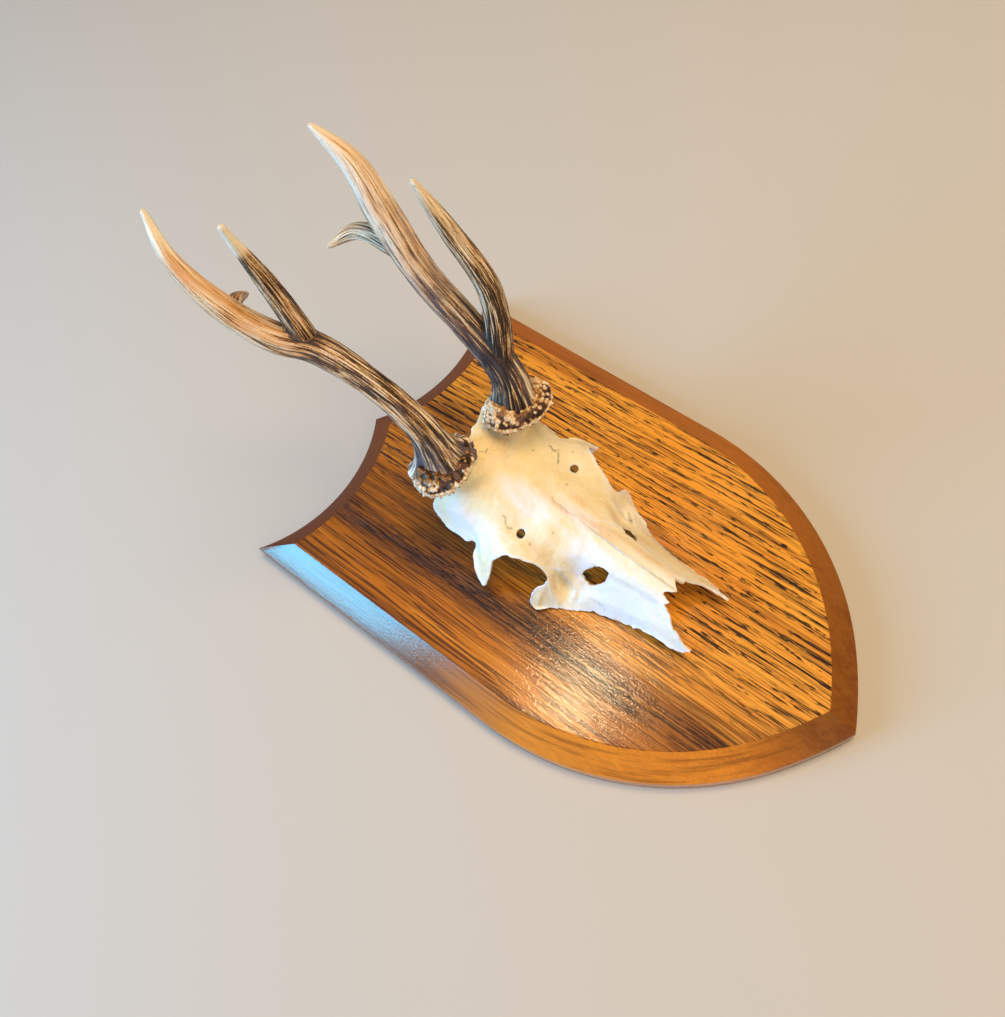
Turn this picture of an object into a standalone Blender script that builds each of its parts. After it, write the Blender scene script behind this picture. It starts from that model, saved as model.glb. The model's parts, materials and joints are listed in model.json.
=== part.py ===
"""Roe deer buck skull cap with both antlers, mounted on a bevelled oak shield.

The shield lies on its back. +Z points out of its face, +Y runs to its top edge and +X is the
animal's left side. The origin is on the back face, half-way down the shield. Every length is in
metres. Distances up and down are laid out from the line between the shield's two top corners,
which is where the empty that carries all the pieces stands.

The skull cap is a thin shell of five bones that meet at their sutures: the fused frontals with
their pedicles, two nasals and two cheek bones, each cheek being the lacrimal, maxilla and
premaxilla of one side. Each antler is a coronet, a lower beam, an upper beam and two tines.
"""

import math
from typing import NamedTuple

import bmesh
import bpy
from mathutils import Matrix, Vector
from mathutils.geometry import delaunay_2d_cdt

MM = 0.001
GAP = 0.3 * MM                 # clearance between pieces that touch

# --- shield -----------------------------------------------------------------------------------
SHIELD_WIDTH = 203 * MM        # between the two top corners
SIDE_LENGTH = 167 * MM         # nearly straight side below each top corner
SIDE_SPLAY = -0.009            # the sides lean in by this angle, in radians
FLANK_RADIUS = 154 * MM        # arc that turns the side inward
FLANK_TURN = 0.96              # angle of that arc, in radians
TIP_RADIUS = 213 * MM          # flatter arc that runs on to the bottom point
TOP_SAG = 16.3 * MM            # each half of the top edge is hollowed by this much
ORIGIN_DROP = 156 * MM         # from the line between the top corners down to the origin
SHIELD_THICKNESS = 20 * MM
EDGE_HEIGHT = 10 * MM          # upright edge below the bevel
BEVEL_WIDTH = 13.2 * MM

# --- hanging plate and block screws, let into the back --------------------------------------------
PLATE_LENGTH, PLATE_WIDTH, PLATE_THICKNESS = 44 * MM, 18 * MM, 1.6 * MM
PLATE_Y = -42 * MM             # centre of the plate, above the centre of mass
PLATE_SINK = 0.3 * MM          # the plate and its screws stand this far in from the back face
KEYHOLE_RADIUS, KEYSLOT_WIDTH, KEYSLOT_LENGTH = 5 * MM, 4.6 * MM, 9 * MM
POCKET_DEPTH = 8 * MM          # room behind the keyhole for a screw head
PLATE_SCREW_SPACING = 32 * MM
SCREW_HEAD_RADIUS, SCREW_HEAD_DEPTH = 3.6 * MM, 1.2 * MM
SCREW_SHANK_RADIUS, PLATE_SCREW_LENGTH = 1.5 * MM, 11 * MM
BLOCK_SCREW_Y = (-125 * MM, -139 * MM)
BLOCK_SCREW_LENGTH = 34 * MM
COUNTERBORE_DEPTH = 4 * MM

# --- hidden wooden block that carries the skull cap ---------------------------------------------------
BLOCK_WIDTH = 18 * MM
BLOCK_FRONT, BLOCK_BACK = -146 * MM, -119 * MM
BLOCK_CLEARANCE = 0.6 * MM     # below the bone

# --- skull cap ----------------------------------------------------------------------------------------
BONE_FLOOR = SHIELD_THICKNESS + GAP
BONE_THICKNESS = 2.3 * MM
BONE_CELL = 4.4 * MM           # spacing of the shell's points
FORAMEN_X, FORAMEN_Y, FORAMEN_RADIUS = 21.7 * MM, -137.5 * MM, 2.3 * MM
PEDICLE_BASE_RADIUS, PEDICLE_TOP_RADIUS = 13 * MM, 11.6 * MM
PEDICLE_DEPTH = 20 * MM        # from the coronet's underside down into the forehead

# --- antlers ----------------------------------------------------------------------------------------------
CORONET_RADIUS, CORONET_HEIGHT = 17 * MM, 6.5 * MM
CORONET_LOBES = 9
CORONET_SIDES = 27
ANTLER_SIDES = 12
RING_SPACING = 6.5 * MM        # along a beam


class Section(NamedTuple):
    """Half cross-section of the skull cap at one distance along it, in millimetres.

    Heights are above the shield's back. The crown is on the midline; shoulder, wall and edge
    are points further out, each a distance from the midline and a height.
    """

    y: float
    crown: float
    shoulder: tuple
    wall: tuple
    edge: tuple


SECTIONS = (
    Section(-84, 77.0, (18, 78.0), (31, 68), (37, 54)),
    Section(-103, 79.5, (18, 77.5), (31, 63), (37, 46)),
    Section(-117, 72.5, (16, 69.0), (28, 59), (37, 43)),
    Section(-124, 69.5, (16, 65.5), (31, 55), (45, 36)),
    Section(-130, 66.8, (16, 62.5), (33, 54), (48, 31.5)),
    Section(-137, 63.5, (15, 59.5), (33, 54.5), (48, 32)),
    Section(-148, 60.0, (15, 56.5), (29, 51), (42, 33)),
    Section(-156, 57.0, (15, 52.0), (27.5, 43), (39, 24)),
    Section(-168, 53.5, (11, 48.5), (18, 35), (32, 21.5)),
    Section(-182, 50.5, (10, 45.5), (17, 34), (25, 21.5)),
    Section(-192, 49.0, (9, 44.8), (16, 34), (22.5, 22)),
    Section(-203, 47.4, (8, 44.0), (15, 34.5), (20.5, 25)),
    Section(-214, 46.0, (7, 43.2), (13.5, 36), (19.5, 27)),
    Section(-232, 43.0, (6, 41.0), (14, 34), (18, 24.5)),
)

# Plan outlines of one half of the cap, as corners (x, y) in millimetres, from the back round to
# the nose. Neighbouring bones share the corners of their sutures.
BACK_EDGE = ((0, -92), (9, -89), (20, -86), (30, -87), (35.5, -91.5))
TEMPORAL_EDGE = ((35.5, -91.5), (36.8, -97), (37.4, -103), (37, -110), (34.8, -117.2))
POSTORBITAL_SPIKE = ((34.8, -117.2), (41, -120), (46, -125), (47.8, -130), (44, -130.5), (38.5, -131))
ORBIT_RIM = ((38.5, -131), (35, -136), (32, -142), (29.6, -147.5), (27.8, -153.4))
RIGHT_CHEEK_RIM = ((27.8, -153.4), (28.6, -156.6), (31.5, -156.5), (35, -154), (40, -153), (41, -157))
LEFT_CHEEK_RIM = ((27.8, -153.4), (28.6, -156.6), (31.5, -157), (35, -156), (37.3, -156.5), (37, -159.5))
CHEEK_EDGE = (
    (33.7, -164), (30, -172), (25.2, -181), (22, -193), (20.2, -206), (18.8, -224), (16.8, -231.3),
)
NOSE_RIM = ((16.8, -231.3), (15.4, -225), (13.3, -219.3), (10.7, -216), (8.3, -211))
NASAL_SUTURE = ((8.3, -211), (9.6, -197), (10.9, -182))
GAP_LOWER = ((10.9, -182), (14.2, -180), (17.5, -176), (17.8, -172), (16.8, -168))
GAP_UPPER = ((16.8, -168), (14, -170.5), (11.5, -173.6))
GAP_FRONT = ((11.5, -173.6), (10.6, -177.5), (10.9, -182))
LACRIMAL_SUTURE = ((16.8, -168), (20, -163), (24, -157.5), (27.8, -153.4))
FRONTAL_SUTURE = ((11.5, -173.6), (8, -166), (3, -161), (0, -160))
NASAL_TIPS = ((0, -213.3), (4.5, -208.7), (6.5, -212.6), (8.3, -211))


class Stem(NamedTuple):
    """Place and half-widths, in millimetres, of an antler at one point along it."""

    x: float
    y: float
    z: float
    wide: float
    deep: float


RIGHT_BEAM = (
    Stem(-21.5, -96.0, 86.5, 10.5, 10.0),
    Stem(-21.6, -90.5, 112, 7.2, 7.0),
    Stem(-24.3, -72.4, 136.3, 6.3, 6.1),
    Stem(-30.8, -50.0, 155.6, 7.1, 6.4),
    Stem(-39.5, -38.0, 164.5, 6.8, 6.0),
    Stem(-45.2, -23.4, 177.2, 6.1, 5.4),
    Stem(-46.4, -1.8, 197.9, 3.9, 3.6),
    Stem(-39.5, 13.0, 214, 1.3, 1.2),
)
RIGHT_FRONT_TINE = (
    Stem(-30.8, -47.5, 157, 5.8, 5.4),
    Stem(-29.9, -39.5, 186, 4.6, 4.4),
    Stem(-32.2, -32.9, 223, 1.5, 1.4),
)
RIGHT_REAR_TINE = (
    Stem(-45.0, -23.5, 177, 4.8, 4.2),
    Stem(-37.0, -14.0, 170.5, 3.8, 3.4),
    Stem(-24.5, 3.5, 150.5, 1.2, 1.1),
)
LEFT_BEAM = (
    Stem(23.0, -105.5, 86.0, 11.0, 10.5),
    Stem(27.1, -99.2, 105.1, 8.2, 7.8),
    Stem(28.0, -79.9, 126.9, 7.6, 7.0),
    Stem(29.0, -58.3, 145.8, 7.6, 6.8),
    Stem(35.6, -35.2, 164.6, 8.0, 6.8),
    Stem(41.3, -17.1, 182, 5.9, 5.2),
    Stem(39.7, 2.0, 197.5, 1.4, 1.2),
)
LEFT_FRONT_TINE = (
    Stem(28.5, -96.5, 109, 6.6, 6.4),
    Stem(36.9, -91.6, 148, 5.6, 5.4),
    Stem(36.0, -76.8, 179.7, 4.4, 4.2),
    Stem(34.0, -66.0, 204, 1.4, 1.3),
)
LEFT_REAR_TINE = (
    Stem(31.0, -49.0, 153, 5.2, 4.6),
    Stem(30.8, -14.9, 148.6, 4.3, 3.8),
    Stem(18.0, -4.5, 144, 1.3, 1.2),
)
CORONET_AXIS = Vector((0.0, 0.26, 0.97)).normalized()
CORONET_TILT = 0.10            # each coronet leans outward by this much
RIGHT_FORK, LEFT_FORK = 84 * MM, 31 * MM    # where each beam is parted, along it from its foot

CORNER_LINE = "top_corner_line"
FINISHES = {                   # colour, roughness, metallic
    "oak": ((0.42, 0.15, 0.035), 0.25, 0.0),
    "bone": ((0.80, 0.71, 0.50), 0.55, 0.0),
    "coronet": ((0.50, 0.33, 0.17), 0.7, 0.0),
    "antler": ((0.30, 0.18, 0.09), 0.6, 0.0),
    "beech": ((0.60, 0.44, 0.26), 0.6, 0.0),
    "brass": ((0.72, 0.52, 0.22), 0.35, 1.0),
    "steel": ((0.55, 0.55, 0.56), 0.35, 1.0),
}


# --- scene helpers ---------------------------------------------------------------------------------


def clear_scene():
    """Remove every object that the scene starts with, and stand the empty that carries the rest."""
    for obj in list(bpy.data.objects):
        bpy.data.objects.remove(obj, do_unlink=True)
    line = bpy.data.objects.new(CORNER_LINE, None)
    line.location = (0, ORIGIN_DROP, 0)
    bpy.context.scene.collection.objects.link(line)


def finish(name):
    """Return the material called name, made on first use."""
    material = bpy.data.materials.get(name)
    if material is None:
        colour, roughness, metallic = FINISHES[name]
        material = bpy.data.materials.new(name)
        material.use_nodes = True
        shader = material.node_tree.nodes["Principled BSDF"]
        shader.inputs["Base Color"].default_value = (*colour, 1.0)
        shader.inputs["Roughness"].default_value = roughness
        shader.inputs["Metallic"].default_value = metallic
    return material


def to_object(bm, name, material, smooth_angle=math.radians(40)):
    """Turn a bmesh into a named, shaded object with its material."""
    bmesh.ops.recalc_face_normals(bm, faces=bm.faces)
    mesh = bpy.data.meshes.new(name)
    bm.to_mesh(mesh)
    bm.free()
    mesh.shade_smooth()
    mesh.set_sharp_from_angle(angle=smooth_angle)
    mesh.materials.append(finish(material))
    obj = bpy.data.objects.new(name, mesh)
    obj.parent = bpy.data.objects[CORNER_LINE]
    bpy.context.scene.collection.objects.link(obj)
    return obj


def bridge(bm, lower, upper):
    """Join two rings of vertices that run the same way with a band of faces."""
    for k, start in enumerate(lower):
        n = (k + 1) % len(lower)
        bm.faces.new((start, lower[n], upper[n], upper[k]))


def cutter(obj):
    """Mark an object as one that only shapes others."""
    obj.hide_render = True
    obj.display_type = "WIRE"
    return obj


def combine(target, tool, operation):
    """Add an exact Boolean of tool to target."""
    modifier = target.modifiers.new(f"{operation.lower()}_{tool.name}", "BOOLEAN")
    modifier.operation = operation
    modifier.solver = "EXACT"
    modifier.object = tool


# --- curves and interpolation ----------------------------------------------------------------------


def hermite(p1, p2, m1, m2, t):
    """Point at t on the cubic from p1 to p2 with end slopes m1 and m2."""
    return (
        p1 * (2 * t**3 - 3 * t**2 + 1)
        + m1 * (t**3 - 2 * t**2 + t)
        + p2 * (3 * t**2 - 2 * t**3)
        + m2 * (t**3 - t**2)
    )


def smooth_chain(points, steps):
    """Run a rounded curve through points, with a number of steps between neighbours."""
    points = [Vector(p) for p in points]
    ends = [2 * points[0] - points[1], *points, 2 * points[-1] - points[-2]]
    chain = []
    for before, start, stop, after in zip(ends, ends[1:], ends[2:], ends[3:]):
        near, mid, far = (
            max((b - a).length, 1e-9) ** 0.5
            for a, b in ((before, start), (start, stop), (stop, after))
        )
        lead = (stop - start) + mid * ((start - before) / near - (stop - before) / (near + mid))
        trail = (stop - start) + mid * ((after - stop) / far - (after - start) / (mid + far))
        chain += [hermite(start, stop, lead, trail, k / steps) for k in range(steps)]
    return [*chain, points[-1]]


def monotone(knots, values, at):
    """Interpolate values over rising knots without overshoot, and hold them beyond the ends."""
    if at <= knots[0]:
        return values[0]
    if at >= knots[-1]:
        return values[-1]
    widths = [b - a for a, b in zip(knots, knots[1:])]
    rises = [(b - a) / w for a, b, w in zip(values, values[1:], widths)]
    slopes = [rises[0]]
    for r0, r1 in zip(rises, rises[1:]):
        slopes.append(0.0 if r0 * r1 <= 0 else 2 * r0 * r1 / (r0 + r1))
    slopes.append(rises[-1])
    i = max(k for k, knot in enumerate(knots[:-1]) if knot <= at)
    t = (at - knots[i]) / widths[i]
    return hermite(values[i], values[i + 1], slopes[i] * widths[i], slopes[i + 1] * widths[i], t)


# --- shield ------------------------------------------------------------------------------------------


def arc(centre, spoke, sweep, count):
    """Points on a circle from the end of a spoke through an angle."""
    return [centre + Matrix.Rotation(sweep * k / count, 2) @ spoke for k in range(count + 1)]


def shield_half_outline(inset):
    """Right half of the shield's outline, drawn in by a distance, from the top cusp to the point."""
    span = SHIELD_WIDTH / 2
    hollow_radius = (span**2 / 4 + TOP_SAG**2) / (2 * TOP_SAG)
    hollow = Vector((span / 2, hollow_radius - TOP_SAG))
    down = Vector((math.sin(SIDE_SPLAY), -math.cos(SIDE_SPLAY)))
    inward = Vector((down.y, -down.x))
    corner = Vector((span, 0))
    start = corner + inward * inset
    along = (hollow - start).dot(down)
    aside = (hollow - start).dot(inward)
    corner_inset = start + down * (along + math.sqrt((hollow_radius + inset)**2 - aside**2))
    rise = math.sqrt((hollow_radius + inset)**2 - hollow.x**2)
    first = Vector((-hollow.x, -rise))
    top = arc(hollow, first, first.angle_signed(corner_inset - hollow) * -1, 12)
    side_end = corner + down * SIDE_LENGTH
    flank_centre = side_end + inward * FLANK_RADIUS
    flank = arc(flank_centre, inward * (inset - FLANK_RADIUS), -FLANK_TURN, 12)
    outward = (flank[-1] - flank_centre).normalized()
    tip_centre = flank_centre + outward * (FLANK_RADIUS - TIP_RADIUS)
    radius = TIP_RADIUS - inset
    sweep = math.acos(outward.x) - math.acos(-tip_centre.x / radius)
    tip = arc(tip_centre, outward * radius, sweep, 8)
    tip[-1].x = 0
    return [*top, *flank, *tip[1:]]


def prism(outline, low, high, name):
    """Closed upright prism on a plan outline, as an object that only cuts."""
    bm = bmesh.new()
    face = bm.faces.new([bm.verts.new((x, y, low)) for x, y in outline])
    lift = bmesh.ops.extrude_face_region(bm, geom=[face])
    moved = [v for v in lift["geom"] if isinstance(v, bmesh.types.BMVert)]
    bmesh.ops.translate(bm, verts=moved, vec=(0, 0, high - low))
    return cutter(to_object(bm, name, "steel"))


def disc(x, y, radius, count=24):
    """Plan outline of a circle."""
    turns = (2 * math.pi * k / count for k in range(count))
    return [(x + radius * math.cos(a), y + radius * math.sin(a)) for a in turns]


def rectangle(x, y, width, length):
    """Plan outline of an upright rectangle about its centre."""
    signs = ((-1, -1), (1, -1), (1, 1), (-1, 1))
    return [(x + sx * width / 2, y + sy * length / 2) for sx, sy in signs]


def keyhole_outline():
    """Plan outline of the keyhole: a round entry with a slot running up from it."""
    entry_y = PLATE_Y - KEYSLOT_LENGTH / 2
    half_slot = KEYSLOT_WIDTH / 2
    opening = math.asin(half_slot / KEYHOLE_RADIUS)
    entry = [
        (-KEYHOLE_RADIUS * math.sin(a), entry_y + KEYHOLE_RADIUS * math.cos(a))
        for a in (opening + (2 * math.pi - 2 * opening) * k / 24 for k in range(25))
    ]
    top_y = PLATE_Y + KEYSLOT_LENGTH / 2
    slot_end = [
        (half_slot * math.cos(math.pi * k / 8), top_y + half_slot * math.sin(math.pi * k / 8))
        for k in range(9)
    ]
    return [*entry, *slot_end]


def build_shield():
    """Bevelled oak shield with the recesses in its back."""
    levels = ((0.0, 0.0), (0.0, EDGE_HEIGHT), (BEVEL_WIDTH, SHIELD_THICKNESS))
    bm = bmesh.new()
    previous = None
    for inset, height in levels:
        outline = mirrored_loop(shield_half_outline(inset))
        ring = [bm.verts.new((p.x, p.y, height)) for p in outline]
        if previous:
            bridge(bm, previous, ring)
        else:
            bm.faces.new(reversed(ring))
        previous = ring
    bm.faces.new(previous)
    bmesh.ops.triangulate(bm, faces=[f for f in bm.faces if len(f.verts) > 4])
    shield = to_object(bm, "shield", "oak", math.radians(25))
    cuts = [
        prism(rectangle(0, PLATE_Y, PLATE_WIDTH + 2 * GAP, PLATE_LENGTH + 2 * GAP),
              -MM, PLATE_SINK + PLATE_THICKNESS + GAP, "plate_recess"),
        prism(rectangle(0, PLATE_Y, 2 * KEYHOLE_RADIUS + MM, KEYSLOT_LENGTH + 2 * KEYHOLE_RADIUS + MM),
              -MM, POCKET_DEPTH, "head_pocket"),
    ]
    for k, y in enumerate(plate_screw_places()):
        hole = disc(0, y, SCREW_SHANK_RADIUS + GAP)
        cuts.append(prism(hole, -MM, PLATE_SCREW_LENGTH + 2 * GAP, f"plate_screw_hole_{k}"))
    for k, y in enumerate(BLOCK_SCREW_Y):
        bore = disc(0, y, SCREW_HEAD_RADIUS + GAP)
        hole = disc(0, y, SCREW_SHANK_RADIUS + GAP)
        cuts.append(prism(bore, -MM, COUNTERBORE_DEPTH, f"counterbore_{k}"))
        cuts.append(prism(hole, -MM, 2 * SHIELD_THICKNESS, f"block_screw_hole_{k}"))
    for tool in cuts:
        combine(shield, tool, "DIFFERENCE")


def plate_screw_places():
    """Distances up the shield of the hanging plate's two screws."""
    return (PLATE_Y - PLATE_SCREW_SPACING / 2, PLATE_Y + PLATE_SCREW_SPACING / 2)


def build_plate():
    """Keyhole plate, flush with the back of the shield."""
    bm = bmesh.new()
    outline = rectangle(0, PLATE_Y, PLATE_WIDTH, PLATE_LENGTH)
    face = bm.faces.new([bm.verts.new((x, y, PLATE_SINK)) for x, y in outline])
    lift = bmesh.ops.extrude_face_region(bm, geom=[face])
    moved = [v for v in lift["geom"] if isinstance(v, bmesh.types.BMVert)]
    bmesh.ops.translate(bm, verts=moved, vec=(0, 0, PLATE_THICKNESS))
    upright = [e for e in bm.edges if abs(e.verts[0].co.z - e.verts[1].co.z) > MM / 2]
    bmesh.ops.bevel(bm, geom=upright, offset=3 * MM, segments=4, affect="EDGES")
    plate = to_object(bm, "hanging_plate", "brass")
    combine(plate, prism(keyhole_outline(), -MM, 3 * MM, "keyhole"), "DIFFERENCE")
    for k, y in enumerate(plate_screw_places()):
        seat = disc(0, y, SCREW_HEAD_RADIUS + GAP)
        seat_top = PLATE_SINK + SCREW_HEAD_DEPTH + GAP / 3
        combine(plate, prism(seat, -MM, seat_top, f"plate_seat_{k}"), "DIFFERENCE")
        hole = disc(0, y, SCREW_SHANK_RADIUS + GAP)
        combine(plate, prism(hole, -MM, 3 * MM, f"plate_hole_{k}"), "DIFFERENCE")


def build_screw(name, y, depth, length):
    """Wood screw driven in from the back, its head at a depth below the back face."""
    profile = (
        (0, depth), (SCREW_HEAD_RADIUS, depth), (SCREW_HEAD_RADIUS, depth + 0.7 * SCREW_HEAD_DEPTH),
        (SCREW_SHANK_RADIUS, depth + SCREW_HEAD_DEPTH), (SCREW_SHANK_RADIUS, depth + length - 3 * MM),
        (0, depth + length),
    )
    bm = bmesh.new()
    verts = [bm.verts.new((r, 0, z)) for r, z in profile]
    edges = [bm.edges.new(pair) for pair in zip(verts, verts[1:])]
    bmesh.ops.spin(bm, geom=[*verts, *edges], cent=(0, 0, 0), axis=(0, 0, 1),
                   angle=2 * math.pi, steps=16, use_merge=True, use_duplicate=False)
    bmesh.ops.remove_doubles(bm, verts=bm.verts, dist=1e-6)
    to_object(bm, name, "steel").location = (0, y, 0)


# --- skull cap -------------------------------------------------------------------------------------------


def bone_height(x, y):
    """Height of the skull cap's outer surface over a place on the shield."""
    along, out = y / MM, abs(x) / MM
    stations = [s.y for s in reversed(SECTIONS)]

    def at(pick):
        return monotone(stations, [pick(s) for s in reversed(SECTIONS)], along)

    knots = [0, at(lambda s: s.shoulder[0]), at(lambda s: s.wall[0]), at(lambda s: s.edge[0])]
    values = [at(lambda s: s.crown), at(lambda s: s.shoulder[1]), at(lambda s: s.wall[1]),
              at(lambda s: s.edge[1])]
    mirrored = [-k for k in reversed(knots[1:])], list(reversed(values[1:]))
    height = monotone([*mirrored[0], *knots], [*mirrored[1], *values], out)
    groove = 1.6 * math.exp(-(((out - 21.7) / 4.5) ** 2) - ((along + 139) / 12) ** 2)
    return (height - groove) * MM


def bone_normal(x, y):
    """Outward normal of the skull cap's outer surface."""
    step = 0.5 * MM
    dx = (bone_height(x + step, y) - bone_height(x - step, y)) / (2 * step)
    dy = (bone_height(x, y + step) - bone_height(x, y - step)) / (2 * step)
    return Vector((-dx, -dy, 1)).normalized()


def joined(*stretches, steps=3):
    """Chain several stretches of outline, rounding each between its corners."""
    chain = []
    for stretch in stretches:
        curve = smooth_chain([Vector((x, y, 0)) * MM for x, y in stretch], steps)
        chain += [p.to_2d() for p in curve[:-1]]
    return chain


def back_to_front(stretch):
    """The same stretch, run the other way."""
    return tuple(reversed(stretch))


def mirrored_loop(half):
    """Close a half outline that starts and ends on the midline with its mirror image."""
    return [*half, *(Vector((-p.x, p.y)) for p in reversed(half[1:-1]))]


def inset_loop(loop, distance):
    """Draw a closed plan outline in by a distance, and return it anticlockwise."""
    area = sum(a.x * b.y - b.x * a.y for a, b in zip(loop, [*loop[1:], loop[0]]))
    if area < 0:
        loop = list(reversed(loop))
    drawn = []
    for before, here, after in zip([loop[-1], *loop[:-1]], loop, [*loop[1:], loop[0]]):
        first, second = (here - before).normalized(), (after - here).normalized()
        inward = Vector((-first.y - second.y, first.x + second.x)).normalized()
        reach = max(inward.dot(Vector((-first.y, first.x))), 0.5)
        drawn.append(here + inward * distance / reach)
    return drawn


def inside(point, loop):
    """Whether a plan point is within a closed outline."""
    crossings = 0
    for a, b in zip(loop, [*loop[1:], loop[0]]):
        if (a.y > point.y) != (b.y > point.y):
            crossings += point.x < a.x + (point.y - a.y) * (b.x - a.x) / (b.y - a.y)
    return crossings % 2 == 1


def clear_of(point, loop, distance):
    """Whether a plan point keeps a distance from an outline."""
    for a, b in zip(loop, [*loop[1:], loop[0]]):
        along = max(0.0, min(1.0, (point - a).dot(b - a) / max((b - a).length_squared, 1e-12)))
        if (a + (b - a) * along - point).length < distance:
            return False
    return True


def build_bone(name, loop, holes=()):
    """Shell of bone over a plan outline, following the skull cap's surface."""
    loops = [inset_loop(loop, GAP / 2), *holes]
    points, edges = [], []
    for ring in loops:
        first = len(points)
        points += ring
        edges += [(first + k, first + (k + 1) % len(ring)) for k in range(len(ring))]
    low = Vector((min(p.x for p in points), min(p.y for p in points)))
    high = Vector((max(p.x for p in points), max(p.y for p in points)))
    row_height = BONE_CELL * math.sqrt(3) / 2
    for row in range(int((high.y - low.y) / row_height) + 1):
        for column in range(int((high.x - low.x) / BONE_CELL) + 2):
            place = Vector((low.x + (column + row % 2 / 2) * BONE_CELL, low.y + row * row_height))
            if (inside(place, loops[0]) and all(clear_of(place, r, BONE_CELL / 2) for r in loops)
                    and not any(inside(place, h) for h in loops[1:])):
                points.append(place)
    verts, _, faces, *_ = delaunay_2d_cdt(points, edges, [], 0, 1e-7)
    bm = bmesh.new()
    outer = [bm.verts.new((p.x, p.y, bone_height(p.x, p.y))) for p in verts]
    for face in faces:
        middle = sum((verts[k] for k in face), Vector((0, 0))) / 3
        if inside(middle, loops[0]) and not any(inside(middle, h) for h in loops[1:]):
            bm.faces.new([outer[k] for k in face])
    for vert in [v for v in bm.verts if not v.link_faces]:
        bm.verts.remove(vert)
    top_faces = list(bm.faces)
    rim = [e for e in bm.edges if e.is_boundary]
    inner = {}
    for vert in list(bm.verts):
        normal = bone_normal(vert.co.x, vert.co.y)
        vert.co.z = max(vert.co.z, BONE_FLOOR + 0.8 * MM)
        place = vert.co - normal * BONE_THICKNESS
        place.z = max(place.z, BONE_FLOOR)
        inner[vert] = bm.verts.new(place)
    for face in top_faces:
        bm.faces.new([inner[v] for v in reversed(face.verts)])
    for edge in rim:
        a, b = edge.verts
        bm.faces.new((a, b, inner[b], inner[a]))
    return to_object(bm, name, "bone")


def coronet_frame(side, base):
    """Rotation of a coronet and the point on its underside's centre."""
    axis = (CORONET_AXIS + Vector((side * CORONET_TILT, 0, 0))).normalized()
    turn = axis.to_track_quat("Z", "Y").to_matrix().to_4x4()
    return Matrix.Translation(base) @ turn


def build_pedicle(side, base):
    """Tapered bony stalk from the forehead up to the underside of a coronet."""
    bm = bmesh.new()
    bmesh.ops.create_cone(bm, cap_ends=True, segments=24, radius1=PEDICLE_BASE_RADIUS,
                          radius2=PEDICLE_TOP_RADIUS, depth=PEDICLE_DEPTH)
    drop = Matrix.Translation((0, 0, -GAP - PEDICLE_DEPTH / 2))
    bmesh.ops.transform(bm, matrix=coronet_frame(side, base) @ drop, verts=bm.verts)
    return cutter(to_object(bm, f"pedicle_{'left' if side > 0 else 'right'}", "bone"))


def build_skull(left_base, right_base):
    """The five bones of the skull cap."""
    frontal = mirrored_loop([
        *joined(BACK_EDGE, TEMPORAL_EDGE, POSTORBITAL_SPIKE, ORBIT_RIM, back_to_front(LACRIMAL_SUTURE),
                GAP_UPPER, FRONTAL_SUTURE),
        Vector(FRONTAL_SUTURE[-1]) * MM,
    ])
    holes = [[Vector(p) for p in disc(side * FORAMEN_X, FORAMEN_Y, FORAMEN_RADIUS, 12)]
             for side in (-1, 1)]
    bone = build_bone("skull_frontal", frontal, holes)
    combine(bone, build_pedicle(1, left_base), "UNION")
    combine(bone, build_pedicle(-1, right_base), "UNION")
    nasal = [*joined(back_to_front(FRONTAL_SUTURE), GAP_FRONT, back_to_front(NASAL_SUTURE),
                     back_to_front(NASAL_TIPS)), Vector(NASAL_TIPS[0]) * MM]
    for side, word, rim in ((1, "left", LEFT_CHEEK_RIM), (-1, "right", RIGHT_CHEEK_RIM)):
        build_bone(f"skull_nasal_{word}", [Vector((side * p.x, p.y)) for p in nasal])
        cheek = joined(rim, (rim[-1], *CHEEK_EDGE), NOSE_RIM, NASAL_SUTURE, GAP_LOWER, LACRIMAL_SUTURE)
        build_bone(f"skull_cheek_{word}", [Vector((side * p.x, p.y)) for p in cheek])


def build_block():
    """Wooden block under the forehead, its top shaped to the hollow of the bone."""
    rows, columns = 8, 5
    bm = bmesh.new()
    bmesh.ops.create_grid(bm, x_segments=columns - 1, y_segments=rows - 1, size=0.5)
    length, middle = BLOCK_BACK - BLOCK_FRONT, (BLOCK_BACK + BLOCK_FRONT) / 2
    for vert in bm.verts:
        x, y = vert.co.x * BLOCK_WIDTH, middle + vert.co.y * length
        under = bone_height(x, y) - (BONE_THICKNESS + BLOCK_CLEARANCE) / bone_normal(x, y).z
        vert.co = (x, y, under)
    rim = [e for e in bm.edges if e.is_boundary]
    lower = bmesh.ops.extrude_edge_only(bm, edges=rim)["geom"]
    for vert in (v for v in lower if isinstance(v, bmesh.types.BMVert)):
        vert.co.z = SHIELD_THICKNESS + GAP
    bmesh.ops.holes_fill(bm, edges=[e for e in bm.edges if e.is_boundary], sides=0)
    block = to_object(bm, "skull_block", "beech")
    for k, y in enumerate(BLOCK_SCREW_Y):
        hole = disc(0, y, SCREW_SHANK_RADIUS + GAP)
        top = COUNTERBORE_DEPTH - SCREW_HEAD_DEPTH + BLOCK_SCREW_LENGTH + GAP
        combine(block, prism(hole, SHIELD_THICKNESS - MM, top, f"pilot_hole_{k}"), "DIFFERENCE")


# --- antlers -----------------------------------------------------------------------------------------------


def thickened(stems, extra):
    """Stations along an antler, in metres, with its half-widths grown by a margin."""
    return [(Vector(s[:3]) * MM, s.wide * MM + extra, s.deep * MM + extra) for s in stems]


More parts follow.
